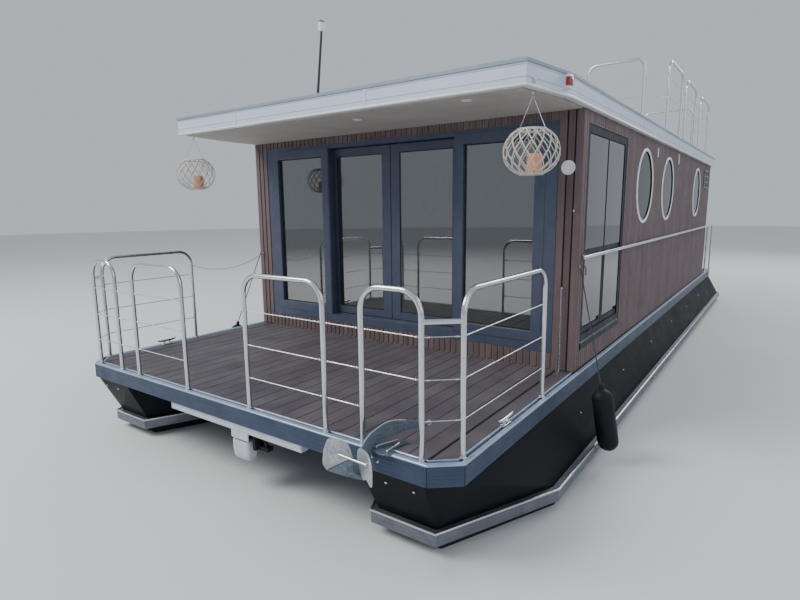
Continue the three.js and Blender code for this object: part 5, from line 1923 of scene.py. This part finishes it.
@dataclass
class Outboard(Assembly):
    """The steering outboard motor, its bracket and its propeller."""

    shaft: Point = (0.0, 12.86, -0.92)
    blades: int = 3
    root: float = 0.035
    reach: float = 0.145

    def blade(self, turn: float) -> Shell:
        """One propeller blade.

        A point at radius r and chord share c lies at angle turn + width(r) * (c - 0.5) and at
        height middle + pitch * (c - 0.5), with its two faces apart by a lens of thickness.

        Args:
            turn: The blade's angle.

        Returns:
            A closed shell.
        """
        share = np.linspace(0, 1, 14)[:, None]
        c = np.linspace(0, 1, 11)[None]
        r = self.root + self.reach * share
        width = (0.95 + 0.35 * np.sin(np.pi * share)) * np.sqrt(np.clip(1 - share**6, 0, 1))
        angle = turn + width * (c - 0.5) + 0.35 * share**2
        pitch = 0.078 * (0.45 + 0.55 * (1 - share))
        height = 0.05 + pitch * (c - 0.5) * width
        lens = 0.0045 * (1.15 - share) * np.sin(np.pi * c)
        faces = [np.stack([r * np.cos(angle), height + way * lens, r * np.sin(angle)], -1)
                 for way in (1, -1)]
        ring = np.concatenate([faces[0], faces[1][:, ::-1][:, 1:-1]], 1)
        points = ring.reshape(-1, 3) + np.asarray(self.shaft)
        rows, count = ring.shape[:2]
        return Shell(points, [net(rows, count), caps(count, len(points) - count)])

    def build(self) -> None:
        """Builds the outboard."""
        self.rounded("motor_bracket", MOTOR_PAINT, "motor_paint", bevel=0.004)
        middle, half = 12.69, 0.22
        self.add("outboard_cowl", loft([
            (0.33, 0, 0.1, middle, 0.14, 3.2), (0.322, 0, 0.13, middle, 0.178, 3.4),
            (0.3, 0, 0.152, middle, 0.206, 3.8), (0.2, 0, 0.168, middle, half, 4.2),
            (0.08, 0, 0.17, middle, half, 4.4), (0.075, 0, 0.17, middle, half, 4.4),
        ], 6, 48), MOTOR_PAINT, "motor_paint", "motor", replaces=["outboard"])
        self.add("outboard_band", loft([
            (0.0745, 0, 0.164, middle, 0.214, 4.4), (0.074, 0, 0.164, middle, 0.214, 4.4),
            (0.063, 0, 0.164, middle, 0.214, 4.4), (0.062, 0, 0.164, middle, 0.214, 4.4),
        ], 2, 48), MOTOR_TRIM, "motor_paint", "motor")
        self.add("outboard_pan", loft([
            (0.0615, 0, 0.17, middle, half, 4.4), (0.05, 0, 0.17, middle, half, 4.4),
            (0.0, 0, 0.158, middle, 0.208, 4), (-0.05, 0, 0.13, 12.685, 0.18, 3.6),
            (-0.07, 0, 0.1, 12.68, 0.155, 3.2), (-0.1, 0, 0.066, 12.668, 0.136, 2.8),
        ], 5, 48), MOTOR_PAINT, "motor_paint", "motor")
        self.add("outboard_leg", [
            loft([
                (-0.07, 0, 0.066, 12.668, 0.136, 2.8), (-0.25, 0, 0.055, 12.667, 0.134, 2.6),
                (-0.42, 0, 0.046, 12.666, 0.132, 2.4), (-0.69, 0, 0.034, 12.685, 0.11, 2.2),
                (-0.89, 0, 0.026, 12.69, 0.1, 2.0),
            ], 6, 36),
            loft([(-0.701, 0, 0.108, 12.72, 0.165, 2.6), (-0.699, 0, 0.11, 12.722, 0.168, 2.6),
                  (-0.693, 0, 0.11, 12.722, 0.168, 2.6), (-0.691, 0, 0.108, 12.72, 0.165, 2.6)],
                 2, 40),
            loft([(-0.92, 0, 0.009, 12.7, 0.11, 2.2), (-1.0, 0, 0.0085, 12.73, 0.09, 2.2),
                  (-1.09, 0, 0.007, 12.752, 0.058, 2.2), (-1.13, 0, 0.0045, 12.76, 0.038, 2.2)],
                 5, 28),
            lathe([(0, -0.018), (0.018, -0.012), (0.04, 0.012), (0.054, 0.05), (0.058, 0.1),
                   (0.058, 0.22), (0.054, 0.27), (0.046, 0.305), (0.022, 0.3155),
                   (0.022, 0.3215), (0, 0.3215)],
                  (0, 12.532, -0.92), (0, 1, 0), 36),
            tube([(0, 12.48, -0.3497), (0, 12.48, -0.1603)], 0.036, 24),
            block((-0.022, 0.022), (12.48, 12.55), (-0.338, -0.172)),
        ], MOTOR_PAINT, "motor_paint", "motor")
        hub = lathe([(0, -0.006), (0.03, -0.006), (0.042, 0.004), (0.046, 0.02), (0.046, 0.085),
                     (0.04, 0.1), (0.034, 0.1095), (0, 0.11)], self.shaft, (0, 1, 0), 32)
        turns = 2 * np.pi * np.arange(self.blades) / self.blades
        self.add("propeller_blades", [hub, *(self.blade(float(turn)) for turn in turns)],
                 PROPELLER_METAL, "propeller_metal", "screw", replaces=["propeller"])


@dataclass
class Fenders(Assembly):
    """One fender on each side, with its lanyard from an eye in the wall."""

    foot: Point = (2.486, 2.09, -0.53)
    lean: float = 0.17
    length: float = 0.462
    radius: float = 0.088
    wall_eye: Point = (2.1085, 2.3125, 0.969)

    def build(self) -> None:
        """Builds both fenders."""
        axis = np.array([-math.sin(self.lean), 0, math.cos(self.lean)])
        r, l = self.radius, self.length
        turn = np.linspace(0, 1, 13) * math.pi / 2
        low = [(r * math.sin(a), -0.04 + 0.09 * (1 - math.cos(a))) for a in turn]
        high = [(r * math.cos(a), l - 0.05 + 0.09 * math.sin(a)) for a in turn[:-2]]
        ribs = [(r - 0.0016, h) for h in (0.052, l - 0.052)]
        profile = [*low, ribs[0], (r, 0.056), (r, 0.3), (r, l - 0.056), ribs[1], *high,
                   (0.024, l + 0.042), (0.02, l + 0.05), (0.019, l + 0.078), (0.014, l + 0.084),
                   (0, l + 0.0845)]
        body = lathe(profile, self.foot, tuple(axis), 48)
        eye = np.asarray(self.foot) + axis * (l + 0.07)
        x, y, z = self.wall_eye
        hitch = smooth([(2.112, 2.314, 0.975), (2.12, 2.34, 0.982), (2.122, 2.41, 0.965),
                        (2.12, 2.45, 0.925), (2.116, 2.452, 0.885)], 8)
        ropes = Shell.joined([
            tube(sagging(eye, (x, y + 0.0045, z), 0.0, 19), 0.005, 10), tube(hitch, 0.0045, 10),
            tube(oval(eye, (0.019, 0, 0), (0, 0.011, 0.012), 24), 0.005, 10, closed=True),
        ])
        ring, top = 0.011, z + 0.011
        wall_eye = Shell.joined([
            tube(oval((x, y, z), (0, ring, 0), (0, 0, ring), 24), 0.003, 8, closed=True),
            tube([(2.096, y, top), (x, y, top)], 0.004, 10),
            lathe([(0, 0), (0.01, 0), (0.01, 0.0015), (0.006, 0.003), (0, 0.003)],
                  (2.1003, y, top), (1, 0, 0), 18),
        ])
        for side in SIDES:
            self.add(f"fender_{side}_eye", wall_eye.on(side), STAINLESS, "stainless")
            self.add(f"fender_{side}_body", body.on(side), FENDER_SKIN, "fender_skin",
                     replaces=[f"fender_{side}"])
            self.add(f"fender_{side}_lanyard", ropes.on(side), ROPE, "fender_skin")


@dataclass
class Lanterns(Assembly):
    """Two woven lanterns under the roof's front corners."""

    radius: float = 0.207
    height: float = 0.32
    curve: float = 1.15
    bands: int = 16
    twist: float = 1.15
    bottom: float = 1.74
    hook_z: float = 2.318
    weave: float = 0.0026
    cane: tuple[float, float] = (0.0048, 0.0021)

    def at(self, share: np.ndarray) -> tuple[np.ndarray, np.ndarray]:
        """Radius and height on the way up: the cosine and sine of one angle.

        Args:
            share: Shares of the way up.

        Returns:
            The radii and the heights.
        """
        angle = self.curve * (2 * share - 1)
        radius = self.radius * np.cos(angle) ** (0.98 - 0.22 * share)
        rise = np.sin(angle) / math.sin(self.curve)
        return radius, self.height / 2 * (1 + rise)

    def band(self, start: float, way: int) -> Shell:
        """A flat cane that climbs the side, now outside and now inside the ones it crosses.

        Args:
            start: Its angle at the foot.
            way: The way that it turns, 1 or -1.

        Returns:
            The closed cane.
        """
        rows, sides = 30, 6
        share = np.linspace(0, 1, rows)
        radius, level = self.at(share)
        angle = start + way * self.twist * share
        radius = radius + way * self.weave * np.cos(2 * self.bands * (angle - start))
        outward = np.stack([np.cos(angle), np.sin(angle), 0 * angle], -1)
        path = outward * radius[:, None] + np.array([0, 0, 1]) * level[:, None]
        run = unit(np.gradient(path, axis=0))
        side = unit(np.cross(run, outward))
        section = circle(sides) * self.cane
        points = (path[:, None] + section[None, :, :1] * side[:, None]
                  + section[None, :, 1:] * np.cross(side, run)[:, None])
        return Shell(points.reshape(-1, 3), [net(rows, sides), caps(sides, (rows - 1) * sides)])

    def hoop(self, share: float, wire: float) -> Shell:
        """A round hoop at a share of the height."""
        radius, level = (float(v) for v in self.at(np.array(share)))
        return tube(oval((0, 0, level), (radius, 0, 0), (0, radius, 0), 48), wire, 8, closed=True)

    def build(self) -> None:
        """Builds both lanterns."""
        starts = 2 * np.pi * np.arange(self.bands) / self.bands
        basket = Shell.joined([
            *(self.band(float(start), way) for start in starts for way in (1, -1)),
            self.hoop(1.0, 0.0075), self.hoop(0.965, 0.0045), self.hoop(0.0, 0.0065),
            lathe([(0, 0), (0.0865, 0), (0.0885, 0.004), (0.0865, 0.008), (0, 0.008)], (0, 0, 0),
                  segments=40),
        ])
        hook = self.hook_z - self.bottom
        mouth = float(self.at(np.array(1.0))[0])
        ring = oval((0, 0, hook - 0.025), (0.0095, 0, 0), (0, 0, 0.0095), 24)
        bail = Shell.joined([
            *(tube([(side * mouth, 0, self.height - 0.004), (side * 0.004, 0, hook - 0.03)],
                   0.0022, 8) for side in (-1, 1)),
            *(lathe([(0, -0.009), (0.007, -0.006), (0.009, 0), (0.007, 0.006), (0, 0.009)],
                    (side * mouth, 0, self.height), (1, 0, 0), 14) for side in (-1, 1)),
            tube(ring, 0.0026, 8, closed=True),
            tube([(0, 0, hook - 0.016), (0, 0, hook - 0.001)], 0.003, 8),
            lathe([(0, -0.006), (0.011, -0.006), (0.013, -0.003), (0.013, 0), (0, 0)],
                  (0, 0, hook), segments=18),
        ])
        candle = lathe([
            (0, 0.009), (0.05, 0.009), (0.0565, 0.016), (0.057, 0.13), (0.055, 0.146),
            (0.051, 0.146), (0.0505, 0.1), (0, 0.1),
        ], (0.026, 0, 0), segments=32)
        for side, x, y, turn in (("port", 1.983, 1.42, 0.0), ("starboard", -1.96, 1.3, 0.6)):
            spin = np.array(Matrix.Rotation(turn, 3, "Z"))
            for name, shell, finish, slot in (
                ("basket", basket, CANE, "wicker"), ("bail", bail, STAINLESS, "stainless"),
                ("candle", candle, CANDLE_GLASS, "wicker"),
            ):
                turned = Shell(shell.points @ spin.T + (x, y, self.bottom), shell.blocks)
                self.add(f"lantern_{side}_{name}", turned, finish, slot,
                         replaces=[f"lantern_{side}"] if name == "basket" else [])


# Studio


def placed(right: np.ndarray, up: np.ndarray, back: np.ndarray, at: np.ndarray) -> Matrix:
    """The matrix of a camera or light: its three axes and its place as columns."""
    return Matrix(np.vstack([np.column_stack([right, up, back, at]), (0, 0, 0, 1)]).tolist())


@dataclass
class Studio:
    """The camera at the photo's viewpoint, a pale floor at the waterline and soft light."""

    eye: Point = (3.579, -2.519, 1.5)
    yaw: float = 0.6177814
    pitch: float = 0.1673131
    roll: float = -0.0099148
    lens: float = 24.4395
    waterline: float = -0.71
    floor_radius: float = 60.0
    sky: Rgb = (0.86, 0.92, 1.0)
    sky_strength: float = 0.62
    lit: Point = (0.0, -2.5, 2.0)

    def camera(self) -> None:
        """Places the camera: its axes come from yaw, pitch and roll."""
        cy, sy, cp, sp = (f(a) for a in (self.yaw, self.pitch) for f in (math.cos, math.sin))
        ahead = np.array([-sy * cp, cy * cp, -sp])
        level = np.array([cy, sy, 0.0])
        above = np.cross(level, ahead)
        right = math.cos(self.roll) * level + math.sin(self.roll) * above
        up = math.cos(self.roll) * above - math.sin(self.roll) * level
        data = bpy.data.cameras.new("photo_camera")
        data.sensor_fit = "HORIZONTAL"
        data.sensor_width = 36.0
        data.lens = self.lens
        data.clip_end = 500.0
        camera = bpy.data.objects.new("photo_camera", data)
        camera.matrix_world = placed(right, up, -ahead, np.asarray(self.eye) + SHIFT)
        bpy.context.scene.collection.objects.link(camera)
        bpy.context.scene.camera = camera

    def floor(self) -> None:
        """A large pale disc at the waterline."""
        reach, thick = self.floor_radius, 0.05
        mesh = meshed("studio_floor", lathe(
            [(0, 0), (reach, 0), (reach, -thick), (0, -thick)], (0, 6.3, self.waterline),
            segments=96,
        ))
        mesh.materials.append(material_of(Finish(
            "studio_floor", (0.72, 0.73, 0.74), (0.7, 0.71, 0.72), (0.6, 0.7), scale=0.5,
        )))
        floor = bpy.data.objects.new("studio_floor", mesh)
        bpy.context.scene.collection.objects.link(floor)

    def light(self, name: str, place: Point, size: float, power: float, tint: Rgb) -> None:
        """A soft square light that looks at the boat's forward half.

        Args:
            name: Its name.
            place: Where it hangs, in the CAD's frame.
            size: Its side.
            power: Its power in watts.
            tint: Its colour.
        """
        data = bpy.data.lights.new(name, "AREA")
        data.size = size
        data.energy = power
        data.color = tint
        lamp = bpy.data.objects.new(name, data)
        origin = np.asarray(place, float)
        back = unit(origin - np.array(self.lit))
        right = unit(np.cross((0.0, 0.0, 1.0), back))
        lamp.matrix_world = placed(right, np.cross(back, right), back, origin)
        bpy.context.scene.collection.objects.link(lamp)

    def build(self) -> None:
        """Builds camera, floor, world and lights."""
        self.camera()
        self.floor()
        world = bpy.data.worlds.new("studio_world")
        world.use_nodes = True
        background = world.node_tree.nodes["Background"]
        background.inputs["Color"].default_value = (*self.sky, 1.0)
        background.inputs["Strength"].default_value = self.sky_strength
        bpy.context.scene.world = world
        self.light("key_light", (-9.0, -15.0, 15.0), 9.0, 3300.0, (1.0, 0.97, 0.93))
        self.light("fill_light", (15.0, -8.0, 9.0), 10.0, 500.0, (0.9, 0.95, 1.0))
        self.light("rim_light", (6.0, 16.0, 13.0), 9.0, 1300.0, (1.0, 0.98, 0.95))


def main() -> None:
    """Builds the scene in order and reports each piece."""
    logging.basicConfig(level=logging.INFO, format="%(name)s %(message)s")
    Studio().build()
    for assembly in (
        Hull(), Deck(), Cabin(), Roof(), Glazing(), Rails(), Anchor(), BowMotor(), Outboard(),
        Fenders(), Lanterns(),
    ):
        assembly.build()
        assembly.report()


if __name__ == "__main__":
    main()
